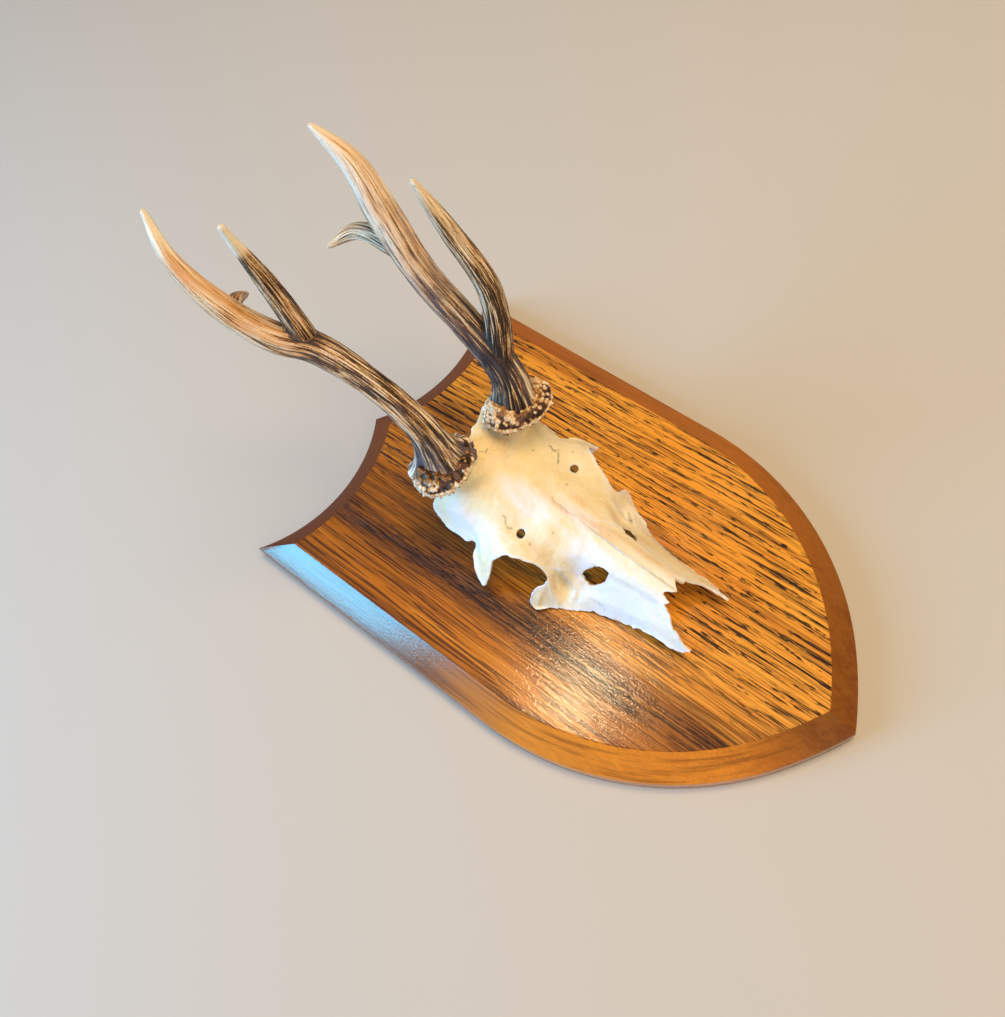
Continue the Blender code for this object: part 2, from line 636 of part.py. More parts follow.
def stem_rings(stems, start=0.0, stop=None, extra=0.0):
    """Centres, directions and half-widths at even spacing along part of an antler.

    The part runs between two distances from the antler's foot, by default all of it.
    """
    stations = thickened(stems, extra)
    steps = 16
    path = smooth_chain([s[0] for s in stations], steps)
    lengths = [0.0]
    for a, b in zip(path, path[1:]):
        lengths.append(lengths[-1] + (b - a).length)
    knots = lengths[::steps]
    stop = stop or lengths[-1]
    count = max(3, round((stop - start) / RING_SPACING))
    rings = []
    for k in range(count + 1):
        at = start + (stop - start) * k / count
        i = min(max(n for n, length in enumerate(lengths) if length <= at), len(path) - 2)
        t = (at - lengths[i]) / (lengths[i + 1] - lengths[i])
        centre = path[i].lerp(path[i + 1], t)
        ahead = (path[min(i + 2, len(path) - 1)] - path[max(i - 1, 0)]).normalized()
        wide = monotone(knots, [s[1] for s in stations], at)
        deep = monotone(knots, [s[2] for s in stations], at)
        rings.append((centre, ahead, wide, deep))
    return rings


def build_stem(name, stems, start=0.0, stop=None, extra=0.0):
    """Closed tube along an antler, with shallow ribs running its length."""
    rings = stem_rings(stems, start, stop, extra)
    bm = bmesh.new()
    across = Vector((1, 0, 0))
    previous = None
    for centre, ahead, wide, deep in rings:
        across = (across - ahead * across.dot(ahead)).normalized()
        over = ahead.cross(across)
        ring = []
        for k in range(ANTLER_SIDES):
            turn = 2 * math.pi * k / ANTLER_SIDES
            rib = 1 + 0.04 * math.cos(3 * turn)
            ring.append(bm.verts.new(centre + across * (wide * rib * math.cos(turn))
                                     + over * (deep * rib * math.sin(turn))))
        if previous:
            bridge(bm, previous, ring)
        else:
            bm.faces.new(reversed(ring))
        previous = ring
    bm.faces.new(previous)
    return to_object(bm, name, "antler")


def build_coronet(side, base):
    """Knobbly ring of antler at the foot of a beam."""
    word = "left" if side > 0 else "right"
    bm = bmesh.new()
    levels = ((0.0, 0.86), (0.22, 0.98), (0.5, 1.0), (0.78, 0.93), (1.0, 0.78))
    previous = None
    for rise, spread in levels:
        ring = []
        for k in range(CORONET_SIDES):
            turn = 2 * math.pi * k / CORONET_SIDES
            lobe = 1 + 0.05 * math.cos(CORONET_LOBES * turn + side)
            radius = CORONET_RADIUS * spread * lobe
            place = (radius * math.cos(turn), radius * math.sin(turn), rise * CORONET_HEIGHT)
            ring.append(bm.verts.new(place))
        if previous:
            bridge(bm, previous, ring)
        else:
            bm.faces.new(reversed(ring))
        previous = ring
    bm.faces.new(previous)
    bmesh.ops.transform(bm, matrix=coronet_frame(side, base), verts=bm.verts)
    to_object(bm, f"coronet_{word}", "coronet")


def half_space(side, base, name):
    """Large block that fills everything below the top of a coronet."""
    bm = bmesh.new()
    bmesh.ops.create_cube(bm, size=0.08)
    lift = Matrix.Translation((0, 0, CORONET_HEIGHT + GAP - 0.04))
    bmesh.ops.transform(bm, matrix=coronet_frame(side, base) @ lift, verts=bm.verts)
    return cutter(to_object(bm, name, "steel"))


def build_antler(side, beam, front, rear, fork, base):
    """One antler: its coronet, two lengths of beam, and two tines cut to sit on the beam."""
    word = "left" if side > 0 else "right"
    build_coronet(side, base)
    lower = build_stem(f"antler_{word}_lower_beam", beam, stop=fork)
    combine(lower, half_space(side, base, f"under_beam_{word}"), "DIFFERENCE")
    build_stem(f"antler_{word}_upper_beam", beam, start=fork + GAP)
    clearance = cutter(build_stem(f"beam_clearance_{word}", beam, extra=1.5 * GAP))
    for tine, stems in (("front", front), ("rear", rear)):
        piece = build_stem(f"antler_{word}_{tine}_tine", stems)
        combine(piece, clearance, "DIFFERENCE")


def coronet_base(beam):
    """Centre of the underside of a coronet, at the foot of its beam."""
    return Vector(beam[0][:3]) * MM - CORONET_AXIS * MM


def main():
    """Build the shield, its fittings, the skull cap and the antlers."""
    clear_scene()
    build_shield()
    build_plate()
    for k, y in enumerate(plate_screw_places(), 1):
        build_screw(f"plate_screw_{k}", y, PLATE_SINK, PLATE_SCREW_LENGTH)
    for k, y in enumerate(BLOCK_SCREW_Y, 1):
        build_screw(f"block_screw_{k}", y, COUNTERBORE_DEPTH - SCREW_HEAD_DEPTH, BLOCK_SCREW_LENGTH)
    left_base, right_base = coronet_base(LEFT_BEAM), coronet_base(RIGHT_BEAM)
    build_block()
    build_skull(left_base, right_base)
    build_antler(1, LEFT_BEAM, LEFT_FRONT_TINE, LEFT_REAR_TINE, LEFT_FORK, left_base)
    build_antler(-1, RIGHT_BEAM, RIGHT_FRONT_TINE, RIGHT_REAR_TINE, RIGHT_FORK, right_base)


main()
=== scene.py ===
"""Looks of a roe deer skull mount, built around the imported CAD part.

A skull cap with both antlers stands on a bevelled, stained and varnished oak shield that lies on
its back. +Z points out of the shield's face, +Y runs to its top edge and +X is the animal's left
side. Lengths are in metres. As on the part, plans are laid out in millimetres from the line
between the shield's top corners, which stands LINE_HEIGHT above the origin.
"""

from __future__ import annotations

import itertools
import json
import logging
import math
from dataclasses import dataclass
from enum import Enum

import bmesh
import bpy
import numpy as np
from mathutils import Matrix, Vector
from mathutils.geometry import delaunay_2d_cdt
from mathutils.kdtree import KDTree

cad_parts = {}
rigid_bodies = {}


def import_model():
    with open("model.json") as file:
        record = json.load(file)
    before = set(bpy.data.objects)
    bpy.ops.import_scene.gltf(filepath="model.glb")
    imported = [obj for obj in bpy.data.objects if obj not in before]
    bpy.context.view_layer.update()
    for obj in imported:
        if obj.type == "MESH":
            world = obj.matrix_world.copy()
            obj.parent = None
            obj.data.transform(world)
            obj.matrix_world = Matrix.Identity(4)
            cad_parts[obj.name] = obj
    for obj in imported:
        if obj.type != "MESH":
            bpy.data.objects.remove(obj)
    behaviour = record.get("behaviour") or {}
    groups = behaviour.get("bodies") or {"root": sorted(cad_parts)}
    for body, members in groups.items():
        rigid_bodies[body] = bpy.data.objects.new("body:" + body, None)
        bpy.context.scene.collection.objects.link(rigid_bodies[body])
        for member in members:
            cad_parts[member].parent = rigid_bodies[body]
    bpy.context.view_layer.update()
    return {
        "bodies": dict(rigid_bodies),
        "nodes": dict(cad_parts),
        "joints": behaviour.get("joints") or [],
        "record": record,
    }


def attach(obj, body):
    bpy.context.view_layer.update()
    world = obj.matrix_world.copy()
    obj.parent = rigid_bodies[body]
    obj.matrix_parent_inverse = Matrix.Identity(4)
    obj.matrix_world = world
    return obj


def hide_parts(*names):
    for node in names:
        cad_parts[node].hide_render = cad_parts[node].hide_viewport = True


LOG = logging.getLogger("skull_mount")
MM = 0.001
LINE_HEIGHT = 156.0            # millimetres from the origin up to the line between the top corners
GOLDEN = 0.618034              # steps of this share spread numbers evenly between 0 and 1

# Short names for the types that the hints use.
Array = np.ndarray
Piece = bpy.types.Object
Tree = bpy.types.NodeTree
Node = bpy.types.Node
Socket = bpy.types.NodeSocket


class Side(Enum):
    """The animal's own sides, each with the sign of its x."""

    LEFT = 1
    RIGHT = -1

    @property
    def word(self) -> str:
        """Name of the side as the CAD nodes spell it."""
        return self.name.lower()


class Slot(Enum):
    """Material slots of the record."""

    OAK = "oak"
    BONE = "bone"
    CORONET = "coronet"
    ANTLER = "antler"
    BEECH = "beech"
    BRASS = "brass"
    STEEL = "steel"


# --- colour and nodes ---


def linear(colour: str) -> tuple[float, float, float, float]:
    """Turn an sRGB hex colour into linear values.

    Args:
        colour: such as "#C87822".

    Returns:
        Red, green, blue and an alpha of 1.
    """
    parts = (int(colour[k:k + 2], 16) / 255 for k in (1, 3, 5))
    return (*(p / 12.92 if p <= 0.04045 else ((p + 0.055) / 1.055) ** 2.4 for p in parts), 1.0)


def feed(tree: Tree, node: Node, inputs: dict) -> None:
    """Set a node's inputs, or link them.

    Args:
        tree: the node tree.
        node: the node that is fed.
        inputs: by the name or number of the input, a value, a hex colour, a socket to link, or a
            node, whose first output in use is linked.
    """
    for name, value in inputs.items():
        socket = node.inputs[name]
        if isinstance(value, Node):
            value = next(output for output in value.outputs if output.enabled)
        if isinstance(value, Socket):
            tree.links.new(value, socket)
        else:
            socket.default_value = linear(value) if isinstance(value, str) else value


def add(
    tree: Tree, kind: str, inputs: dict | None = None,
    stops: tuple[tuple[float, str], ...] = (), **settings: object,
) -> Node:
    """Add a node to a tree, with its settings, values and links.

    Args:
        tree: the node tree.
        kind: the node's type without "ShaderNode".
        inputs: what goes into it, as feed takes it.
        stops: places and hex colours of a colour ramp.
        **settings: properties of the node.

    Returns:
        The new node.
    """
    made = tree.nodes.new(f"ShaderNode{kind}")
    for name, value in settings.items():
        setattr(made, name, value)
    feed(tree, made, inputs or {})
    if stops:
        elements = made.color_ramp.elements
        while len(elements) < len(stops):
            elements.new(0.5)
        for element, (place, colour) in zip(elements, stops):
            element.position = place
            element.color = linear(colour)
    return made


def calc(tree: Tree, operation: str, *values: object) -> Node:
    """Add a Math node.

    Args:
        tree: the node tree.
        operation: what it works out.
        *values: its inputs, in order.

    Returns:
        The new node.
    """
    return add(tree, "Math", dict(enumerate(values)), operation=operation)


@dataclass(frozen=True)
class Finish:
    """A material that is made once, on first use."""

    name: str

    def material(self) -> bpy.types.Material:
        """Find or make the material.

        Returns:
            The material.
        """
        found = bpy.data.materials.get(self.name)
        if found is None:
            found = bpy.data.materials.new(self.name)
            found.use_nodes = True
            self.lay(found.node_tree, found.node_tree.nodes["Principled BSDF"])
        return found

    def lay(self, tree: Tree, shader: Node) -> None:
        """Put together the nodes in front of the shader."""
        raise NotImplementedError

    @staticmethod
    def cells(
        tree: Tree, place: object, across: float, along: float | None = None,
        deep: float | None = None, unit: float = MM,
    ) -> Node:
        """Noise whose cells have a size in millimetres.

        Args:
            tree: the node tree.
            place: socket or node that says where the noise is read.
            across: size of a cell along X.
            along: size of a cell along Y, with the grain, or the same as across.
            deep: size of a cell along Z, or the same as across.
            unit: length of a millimetre in the place that is read.

        Returns:
            The noise node.
        """
        sizes = (across, across if along is None else along, across if deep is None else deep)
        scale = tuple(1 / (size * unit) for size in sizes)
        return add(tree, "TexNoise", {
            "Vector": add(tree, "Mapping", {"Vector": place, "Scale": scale}),
            "Scale": 1.0, "Detail": 3.0, "Roughness": 0.5,
        })


@dataclass(frozen=True)
class VarnishedOak(Finish):
    """Plain-sawn oak, planed, stained orange-brown and brushed with gloss varnish.

    The eye sees bright orange wood on the side where the rings run steeply, browner wood where
    they run flat, rows of open pores that the stain has filled nearly black, a dark band at the
    heart, darker cut ends, and a clear gloss that the pores break up.
    """

    light: str = "#F2A02E"
    middle: str = "#BC6A12"
    dark: str = "#834608"
    pore: str = "#140A05"
    fine_line: str = "#401B08"
    heart: str = "#44200C"
    cut_end: str = "#6B2C0A"
    ring_line: str = "#5E2A08"                               # late wood on the bevels
    # The two bevel stains carry painted light and shade as well as stain: each side gets its own lighter and
    # darker colours.
    near_bevel_stain_and_light: tuple[str, str] = ("#EA8C26", "#84450F")     # on the heart's side: tip end, top end
    far_bevel_stain_and_shade: tuple[str, str] = ("#62290A", "#A4540F")      # on the other side
    ring_spacing: float = 3.3      # millimetres between growth rings
    pore_width: float = 0.95       # cell across; a pore is 0.3 mm, and rows of them merge to 1 mm
    pore_length: float = 38.0
    heart_x: float = -56.0         # millimetres from the middle of the shield
    heart_depth: float = 62.0      # millimetres below the face
    roughness: float = 0.45
    varnish: float = 1.0
    varnish_roughness: float = 0.15

    def lay(self, tree: Tree, shader: Node) -> None:
        """Put together the grain, the pores and the varnish.

        Args:
            tree: the node tree.
            shader: the node that they go into.
        """
        place = add(tree, "TexCoord").outputs["Object"]
        drift = add(tree, "VectorMath", {0: self.cells(tree, place, 70, 260).outputs["Color"], 1: (0.5,) * 3},
                    operation="SUBTRACT")
        swayed = add(tree, "VectorMath", {0: drift, 1: (9 * MM, 0.0, 9 * MM), 2: place},
                     operation="MULTIPLY_ADD")
        axes = add(tree, "SeparateXYZ", {0: swayed})
        x, y = axes.outputs["X"], axes.outputs["Y"]
        facing = add(tree, "SeparateXYZ", {0: add(tree, "NewGeometry").outputs["Normal"]})
        level = add(tree, "MapRange", {"Value": facing.outputs["Z"], "From Min": 0.86, "From Max": 0.97})
        open_grain = calc(tree, "MULTIPLY_ADD", level, 0.85, 0.15)
        steep = add(tree, "MapRange", {"Value": x, "From Min": -0.048, "From Max": -0.014})
        core = self.heart_band(tree, swayed, x)

        bold = self.streaks(tree, swayed, self.pore_width, self.pore_length, 0.545, 0.572)
        short = self.streaks(tree, swayed, 0.8, 7.0, 0.57, 0.60)
        fine = self.streaks(tree, swayed, 0.8, 50.0, 0.52, 0.56)
        dashes = calc(tree, "MAXIMUM", bold, short)
        early = calc(tree, "MULTIPLY", self.early_wood(tree, swayed, y), steep)
        pores = calc(
            tree, "MAXIMUM", calc(tree, "MULTIPLY", early, dashes), calc(tree, "MULTIPLY", core, dashes),
        )
        filled = calc(tree, "MULTIPLY", pores, open_grain)

        sloped = calc(tree, "MULTIPLY_ADD", level, -0.78, 0.78)
        ends = add(tree, "MapRange", {"Value": facing.outputs["Y"], "From Min": 0.2, "From Max": 0.6})
        level_core = calc(tree, "MULTIPLY", core, level)
        open_lines = calc(tree, "MULTIPLY", fine, open_grain)
        fewer = calc(tree, "MULTIPLY_ADD", steep, -0.35, 0.8)
        colour = self.face_tone(tree, swayed, x, y, steep)
        for share, stain in (
            (sloped, self.bevel_tone(tree, place, y, steep)),
            (calc(tree, "MULTIPLY", ends, 0.85), self.cut_end),
            (calc(tree, "MULTIPLY", level_core, 0.66), self.heart),
            (calc(tree, "MULTIPLY", open_lines, fewer), self.fine_line),
            (calc(tree, "MULTIPLY", filled, 0.95), self.pore),
        ):
            colour = add(tree, "Mix", {0: share, 6: colour, 7: stain}, data_type="RGBA")

        depth = calc(tree, "MULTIPLY_ADD", fine, 0.35, filled)
        brushed = calc(tree, "MULTIPLY_ADD", depth, -0.5, self.cells(tree, place, 0.9, 1.7))
        feed(tree, shader, {
            "Base Color": colour,
            "Normal": add(tree, "Bump", {"Height": depth, "Strength": 0.6, "Distance": 0.22 * MM},
                          invert=True),
            "Coat Normal": add(tree, "Bump", {"Height": brushed, "Strength": 0.6, "Distance": 0.12 * MM}),
            "Roughness": self.roughness, "Specular IOR Level": 0.12, "Coat Weight": self.varnish,
            "Coat Roughness": self.varnish_roughness, "Coat IOR": 1.5,
        })

    def heart_band(self, tree: Tree, swayed: Node, x: Socket) -> Node:
        """Broken dark band where the board was cut nearest the heart of the tree.

        Args:
            tree: the node tree.
            swayed: the place, wandering as the grain does.
            x: its distance across the board.

        Returns:
            A node that gives 1 in the band and 0 away from it.
        """
        aside = calc(tree, "ADD", x, 0.050)
        near = add(tree, "MapRange", {
            "Value": calc(tree, "ABSOLUTE", aside),
            "From Min": 0.004, "From Max": 0.016, "To Min": 1.0, "To Max": 0.0,
        })
        broken = add(tree, "MapRange", {
            "Value": self.cells(tree, swayed, 22, 75), "From Min": 0.30, "From Max": 0.52,
        })
        return calc(tree, "MULTIPLY", near, broken)

    def early_wood(self, tree: Tree, swayed: Node, y: Socket) -> Node:
        """Early wood of the growth rings, where the open pores are.

        Args:
            tree: the node tree.
            swayed: the place, wandering as the grain does.
            y: its distance along the board.

        Returns:
            A node that gives 1 in early wood and 0 in late wood.
        """
        from_heart = add(tree, "VectorMath", {
            0: swayed, 1: (self.heart_x * MM, 0.0, -self.heart_depth * MM),
        }, operation="SUBTRACT")
        across = add(tree, "VectorMath", {0: from_heart, 1: (1.0, 0.0, 1.0)}, operation="MULTIPLY")
        radius = add(tree, "VectorMath", {0: across}, operation="LENGTH")
        tilted = calc(tree, "MULTIPLY_ADD", y, 0.05, radius)
        turns = calc(tree, "DIVIDE", tilted, self.ring_spacing * MM)
        uneven = calc(tree, "MULTIPLY_ADD", self.cells(tree, swayed, 13, 300), 2.2, turns)
        return add(tree, "MapRange", {
            "Value": calc(tree, "PINGPONG", uneven, 0.5),
            "From Min": 0.22, "From Max": 0.38, "To Min": 1.0, "To Max": 0.0,
        })

    def face_tone(self, tree: Tree, swayed: Node, x: Socket, y: Socket, steep: Node) -> Node:
        """Colour of the stained wood on the face.

        Args:
            tree: the node tree.
            swayed: the place, wandering as the grain does.
            x: its distance across the board.
            y: its distance along the board.
            steep: 1 where the rings run steeply.

        Returns:
            A node that gives the colour.
        """
        narrow = calc(tree, "MULTIPLY", self.cells(tree, swayed, 2.0, 120), 0.4)
        level = calc(tree, "MULTIPLY_ADD", self.cells(tree, swayed, 9, 260), 0.6, narrow)
        top = add(tree, "MapRange", {"Value": y, "From Min": 0.0, "From Max": 0.07})
        side = add(tree, "MapRange", {"Value": x, "From Min": 0.02, "From Max": 0.07})
        for region, change in ((steep, 0.17), (top, -0.13), (side, 0.12)):
            level = calc(tree, "MULTIPLY_ADD", region, change, level)
        return add(tree, "ValToRGB", {"Fac": level}, (
            (0.30, self.dark), (0.50, self.middle), (0.74, self.light),
        ))

    def bevel_tone(self, tree: Tree, place: Socket, y: Socket, steep: Node) -> Node:
        """Colour of the bevels, where the rings show as thin lines, with painted light and shade in each
        bevel's stain.

        Args:
            tree: the node tree.
            place: where the wood is read.
            y: its distance along the board.
            steep: 1 where the rings run steeply.

        Returns:
            A node that gives the colour.
        """
        tones = []
        # Painted light and shade: each side's bevel runs from one colour at its tip to another at its top
        # end.
        for (tip, top), low, high in ((self.near_bevel_stain_and_light, -0.03, 0.03), (self.far_bevel_stain_and_shade, -0.13, -0.02)):
            rise = add(tree, "MapRange", {"Value": y, "From Min": low, "From Max": high})
            tones.append(add(tree, "Mix", {0: rise, 6: tip, 7: top}, data_type="RGBA"))
        plain = add(tree, "Mix", {0: steep, 6: tones[0], 7: tones[1]}, data_type="RGBA")
        lines = add(tree, "MapRange", {
            "Value": self.cells(tree, place, 45, 45, 1.3), "From Min": 0.50, "From Max": 0.66, "To Max": 0.55,
        })
        return add(tree, "Mix", {0: lines, 6: plain, 7: self.ring_line}, data_type="RGBA")

    def streaks(
        self, tree: Tree, place: object, width: float, length: float,
        start: float, full: float,
    ) -> Node:
        """Streaks that run with the grain.

        Args:
            tree: the node tree.
            place: socket or node that says where the streaks are read.
            width: of one noise cell across the grain, in millimetres.
            length: of one noise cell along the grain, in millimetres.
            start: noise level where a streak begins.
            full: noise level where it is fully dark.

        Returns:
            A node that gives 1 in a streak and 0 between them.
        """
        made = self.cells(tree, place, width, length)
        return add(tree, "MapRange", {"Value": made, "From Min": start, "From Max": full})


@dataclass(frozen=True)
class CleanedBone(Finish):
    """Boiled and cleaned skull bone, left matt.

    The eye sees straw yellow where grease stays under the thick forehead, chalky white on thin
    and rubbed places, faint orange bands, fine crazing and dark cracks in a slightly waxy face.
    """

    chalk: str = "#F6F0E4"
    straw: str = "#F8E7BE"
    deep: str = "#F0D696"
    honey: str = "#E3A862"
    craze: str = "#A4722E"
    # Dark of the cracks, also used as painted shade in small pits.
    crack_grime_and_pit_shade: str = "#2E1B0D"
    craze_spacing: float = 5.5     # millimetres between the fine lines
    roughness: float = 0.5

    def lay(self, tree: Tree, shader: Node) -> None:
        """Put together the stains that the mesh carries and a fine mottle.

        Args:
            tree: the node tree.
            shader: the node that they go into.
        """
        stain, warm, crack = (
            add(tree, "Attribute", attribute_name=name).outputs["Fac"] for name in ("stain", "warm", "crack")
        )
        place = add(tree, "TexCoord").outputs["Object"]
        speck = self.cells(tree, place, 1.1)
        cloud = self.cells(tree, place, 5.0)
        mottle = calc(
            tree, "ADD",
            add(tree, "MapRange", {"Value": cloud, "To Min": -0.26, "To Max": 0.26}),
            add(tree, "MapRange", {"Value": speck, "To Min": -0.12, "To Max": 0.12}),
        )
        bent = add(tree, "VectorMath", {
            0: self.cells(tree, place, 3.0).outputs["Color"], 1: (5.0 * MM,) * 3, 2: place,
        }, operation="MULTIPLY_ADD")
        veins = add(tree, "TexVoronoi", {
            "Vector": add(tree, "Mapping", {"Vector": bent, "Scale": (1 / (self.craze_spacing * MM),) * 3}),
            "Scale": 1.0,
        }, feature="DISTANCE_TO_EDGE")
        thin = add(tree, "MapRange", {"Value": veins, "From Max": 0.045, "To Min": 0.32, "To Max": 0.0})
        patchy = add(tree, "MapRange", {
            "Value": self.cells(tree, place, 14.0), "From Min": 0.5, "From Max": 0.62,
        })
        crazed = calc(tree, "MULTIPLY", thin, patchy)
        colour = add(tree, "ValToRGB", {
            "Fac": calc(tree, "ADD", stain, mottle),
        }, ((0.12, self.chalk), (0.50, self.straw), (0.92, self.deep)))
        for share, tint in (
            (warm, self.honey),
            (calc(tree, "MULTIPLY", crazed, stain), self.craze),
            (crack, self.crack_grime_and_pit_shade),
        ):
            colour = add(tree, "Mix", {0: share, 6: colour, 7: tint}, data_type="RGBA")
        scored = calc(tree, "MULTIPLY_ADD", crazed, -0.5, speck)
        height = calc(tree, "MULTIPLY_ADD", self.cells(tree, place, 2.4), 2.0, scored)
        feed(tree, shader, {
            "Base Color": colour,
            "Normal": add(tree, "Bump", {"Height": height, "Strength": 0.55, "Distance": 0.3 * MM}),
            "Roughness": self.roughness, "Subsurface Weight": 0.08,
            "Subsurface Radius": (1.0, 0.75, 0.5), "Subsurface Scale": 1.0 * MM,
        })


@dataclass(frozen=True)
class RubbedAntler(Finish):
    """Hard antler, stained by bark and polished by rubbing.

    The eye sees near-black furrows between brown ridges low down, worn cream ridges, honey
    colour higher up and bare cream tips, all streaked lengthwise, and a dull polish.
    """

    browns: tuple[tuple[float, str], ...] = (
        (0.0, "#FAEACB"), (0.22, "#E8C792"), (0.42, "#B4854F"), (0.62, "#503620"), (0.86, "#1B120C"),
    )
    honey: str = "#D88C3C"
    # Lilac grey of ashy wear, which also stands in as painted sheen of the cool window light.
    ash_and_window_sheen: str = "#6C5F66"
    furrow: str = "#120C08"
    roughness: float = 0.5

    def lay(self, tree: Tree, shader: Node) -> None:
        """Put together the stain, furrows and worn ridges that the mesh carries.

        Args:
            tree: the node tree.
            shader: the node that they go into.
        """
        dark, furrow, warm, grey, bare = (
            add(tree, "Attribute", attribute_name=name).outputs["Fac"]
            for name in ("dark", "furrow", "warm", "grey", "bare")
        )
        place = add(tree, "TexCoord").outputs["Object"]
        grain = add(tree, "Attribute", attribute_name="grain").outputs["Vector"]
        lines = -2.225      # minus half of the three weights, so that the lines are 0 on average
        for noise_cells, weight in (
            (self.cells(tree, place, 0.9), 0.45),
            (self.cells(tree, grain, 0.7, 13.0, unit=1.0), 2.3),
            (self.cells(tree, grain, 1.7, 38.0, unit=1.0), 1.7),
        ):
            lines = calc(tree, "MULTIPLY_ADD", noise_cells, weight, lines)
        covered = calc(tree, "MULTIPLY_ADD", bare, -0.8, 1.0)
        shown = calc(tree, "MULTIPLY", lines, covered)
        bolder = calc(tree, "MULTIPLY", shown, 1.45)
        level = calc(tree, "ADD", dark, bolder)
        pale = add(tree, "MapRange", {
            "Value": level, "From Min": 0.35, "From Max": 0.7, "To Min": 1.0, "To Max": 0.1,
        })
        worn = add(tree, "MapRange", {
            "Value": lines, "From Min": -0.25, "From Max": 0.1, "To Min": 0.3, "To Max": 1.0,
        })
        colour = add(tree, "ValToRGB", {"Fac": level}, self.browns)
        # The grey share is ashy wear together with painted sheen of the cool window light.
        for share, tint in (
            (calc(tree, "MULTIPLY", warm, pale), self.honey),
            (calc(tree, "MULTIPLY", grey, worn), self.ash_and_window_sheen),
            (furrow, self.furrow),
        ):
            colour = add(tree, "Mix", {0: share, 6: colour, 7: tint}, data_type="RGBA")
        height = calc(tree, "MULTIPLY_ADD", lines, -1.0, 0.5)
        feed(tree, shader, {
            "Base Color": colour,
            "Normal": add(tree, "Bump", {"Height": height, "Strength": 0.6, "Distance": 0.35 * MM}),
            "Roughness": self.roughness,
        })


@dataclass(frozen=True)
class CoronetPearls(Finish):
    """Knobbly antler of the coronets.

    The eye sees tan pearls with worn cream tops, a few pinkish, standing out of near-black gaps.
    """

    browns: tuple[tuple[float, str], ...] = (
        (0.10, "#150D07"), (0.36, "#4C301A"), (0.60, "#A5723A"), (0.80, "#D8AE74"), (1.0, "#F4E4C4"),
    )
    pink: str = "#B07A68"
    roughness: float = 0.5

    def lay(self, tree: Tree, shader: Node) -> None:
        """Put together the pearls and the gaps that the mesh carries.

        Args:
            tree: the node tree.
            shader: the node that they go into.
        """
        height, hue = (
            add(tree, "Attribute", attribute_name=name).outputs["Fac"] for name in ("height", "hue")
        )
        grain = self.cells(tree, add(tree, "TexCoord").outputs["Object"], 1.2)
        mottle = add(tree, "MapRange", {"Value": grain, "To Min": -0.4, "To Max": 0.4})
        level = calc(tree, "ADD", height, mottle)
        pinkish = calc(tree, "MULTIPLY", hue, 0.45)
        base = add(tree, "ValToRGB", {"Fac": level}, self.browns)
        feed(tree, shader, {
            "Base Color": add(tree, "Mix", {0: pinkish, 6: base, 7: self.pink}, data_type="RGBA"),
            "Normal": add(tree, "Bump", {"Height": grain, "Strength": 0.5, "Distance": 0.3 * MM}),
            "Roughness": self.roughness,
        })


@dataclass(frozen=True)
class SawnBeech(Finish):
    """Bare sawn beech of the hidden block: pale pinkish wood with short brown flecks."""

    browns: tuple[tuple[float, str], ...] = ((0.3, "#A87D4E"), (0.45, "#C8A06E"), (0.7, "#D9B586"))
    roughness: float = 0.6

    def lay(self, tree: Tree, shader: Node) -> None:
        """Put together the pale wood and its flecks.

        Args:
            tree: the node tree.
            shader: the node that they go into.
        """
        fleck = self.cells(tree, add(tree, "TexCoord").outputs["Object"], 0.9, 7.0)
        feed(tree, shader, {
            "Base Color": add(tree, "ValToRGB", {"Fac": fleck}, self.browns),
            "Normal": add(tree, "Bump", {"Height": fleck, "Strength": 0.3, "Distance": 0.1 * MM}),
            "Roughness": self.roughness,
        })


@dataclass(frozen=True)
class WornMetal(Finish):
    """Pressed or plated metal hardware with fine rolling lines and dull patches.

    The eye sees a soft sheen that is streaked one way and duller where hands and weather reached.
    """

    bright: str
    dull: str
    roughness: float

    def lay(self, tree: Tree, shader: Node) -> None:
        """Put together the rolled lines and the dull patches.

        Args:
            tree: the node tree.
            shader: the node that they go into.
        """
        place = add(tree, "TexCoord").outputs["Object"]
        lines = self.cells(tree, place, 0.4, 12.0)
        patch = self.cells(tree, place, 6.0)
        feed(tree, shader, {
            "Base Color": add(tree, "ValToRGB", {"Fac": patch}, ((0.35, self.dull), (0.6, self.bright))),
            "Roughness": add(tree, "MapRange", {
                "Value": patch, "From Min": 0.3, "From Max": 0.7,
                "To Min": self.roughness + 0.15, "To Max": self.roughness,
            }),
            "Normal": add(tree, "Bump", {"Height": lines, "Strength": 0.2, "Distance": 0.05 * MM}),
            "Metallic": 1.0,
        })


@dataclass(frozen=True)
class PalePaper(Finish):
    """Matt studio paper under the mount: an even pale grey."""

    def lay(self, tree: Tree, shader: Node) -> None:
        """Set the even colour."""
        feed(tree, shader, {"Base Color": "#C9BFAE", "Roughness": 0.9})


OAK = VarnishedOak("stained_varnished_oak")
OAK_ENDS = VarnishedOak("oak_thinly_varnished", roughness=0.6, varnish=0.12, varnish_roughness=0.3)
BONE = CleanedBone("cleaned_skull_bone")
ANTLER = RubbedAntler("rubbed_antler")
PEARLS = CoronetPearls("coronet_pearls")
BEECH = SawnBeech("sawn_beech")
BRASS = WornMetal("pressed_brass_plate", "#D9B25C", "#9C7A35", 0.3)
STEEL = WornMetal("zinc_plated_steel", "#C4C6C8", "#86888A", 0.28)
PAPER = PalePaper("studio_paper")


# --- noise ---


def lattice(cells: Array, seed: int) -> Array:
    """Repeatable random numbers from 0 to 1, one for each whole-number cell.

    Args:
        cells: whole-number places, one to a row.
        seed: picks the pattern.

    Returns:
        One number for each row.
    """
    keys = cells.astype(np.int64)
    mixed = keys[:, 0] * 374761393 + keys[:, 1] * 668265263 + keys[:, 2] * 1274126177 + seed * 97463477
    mixed = (mixed ^ (mixed >> 13)) * 1103515245
    return ((mixed ^ (mixed >> 16)) & 0xFFFFFF) / 0xFFFFFF


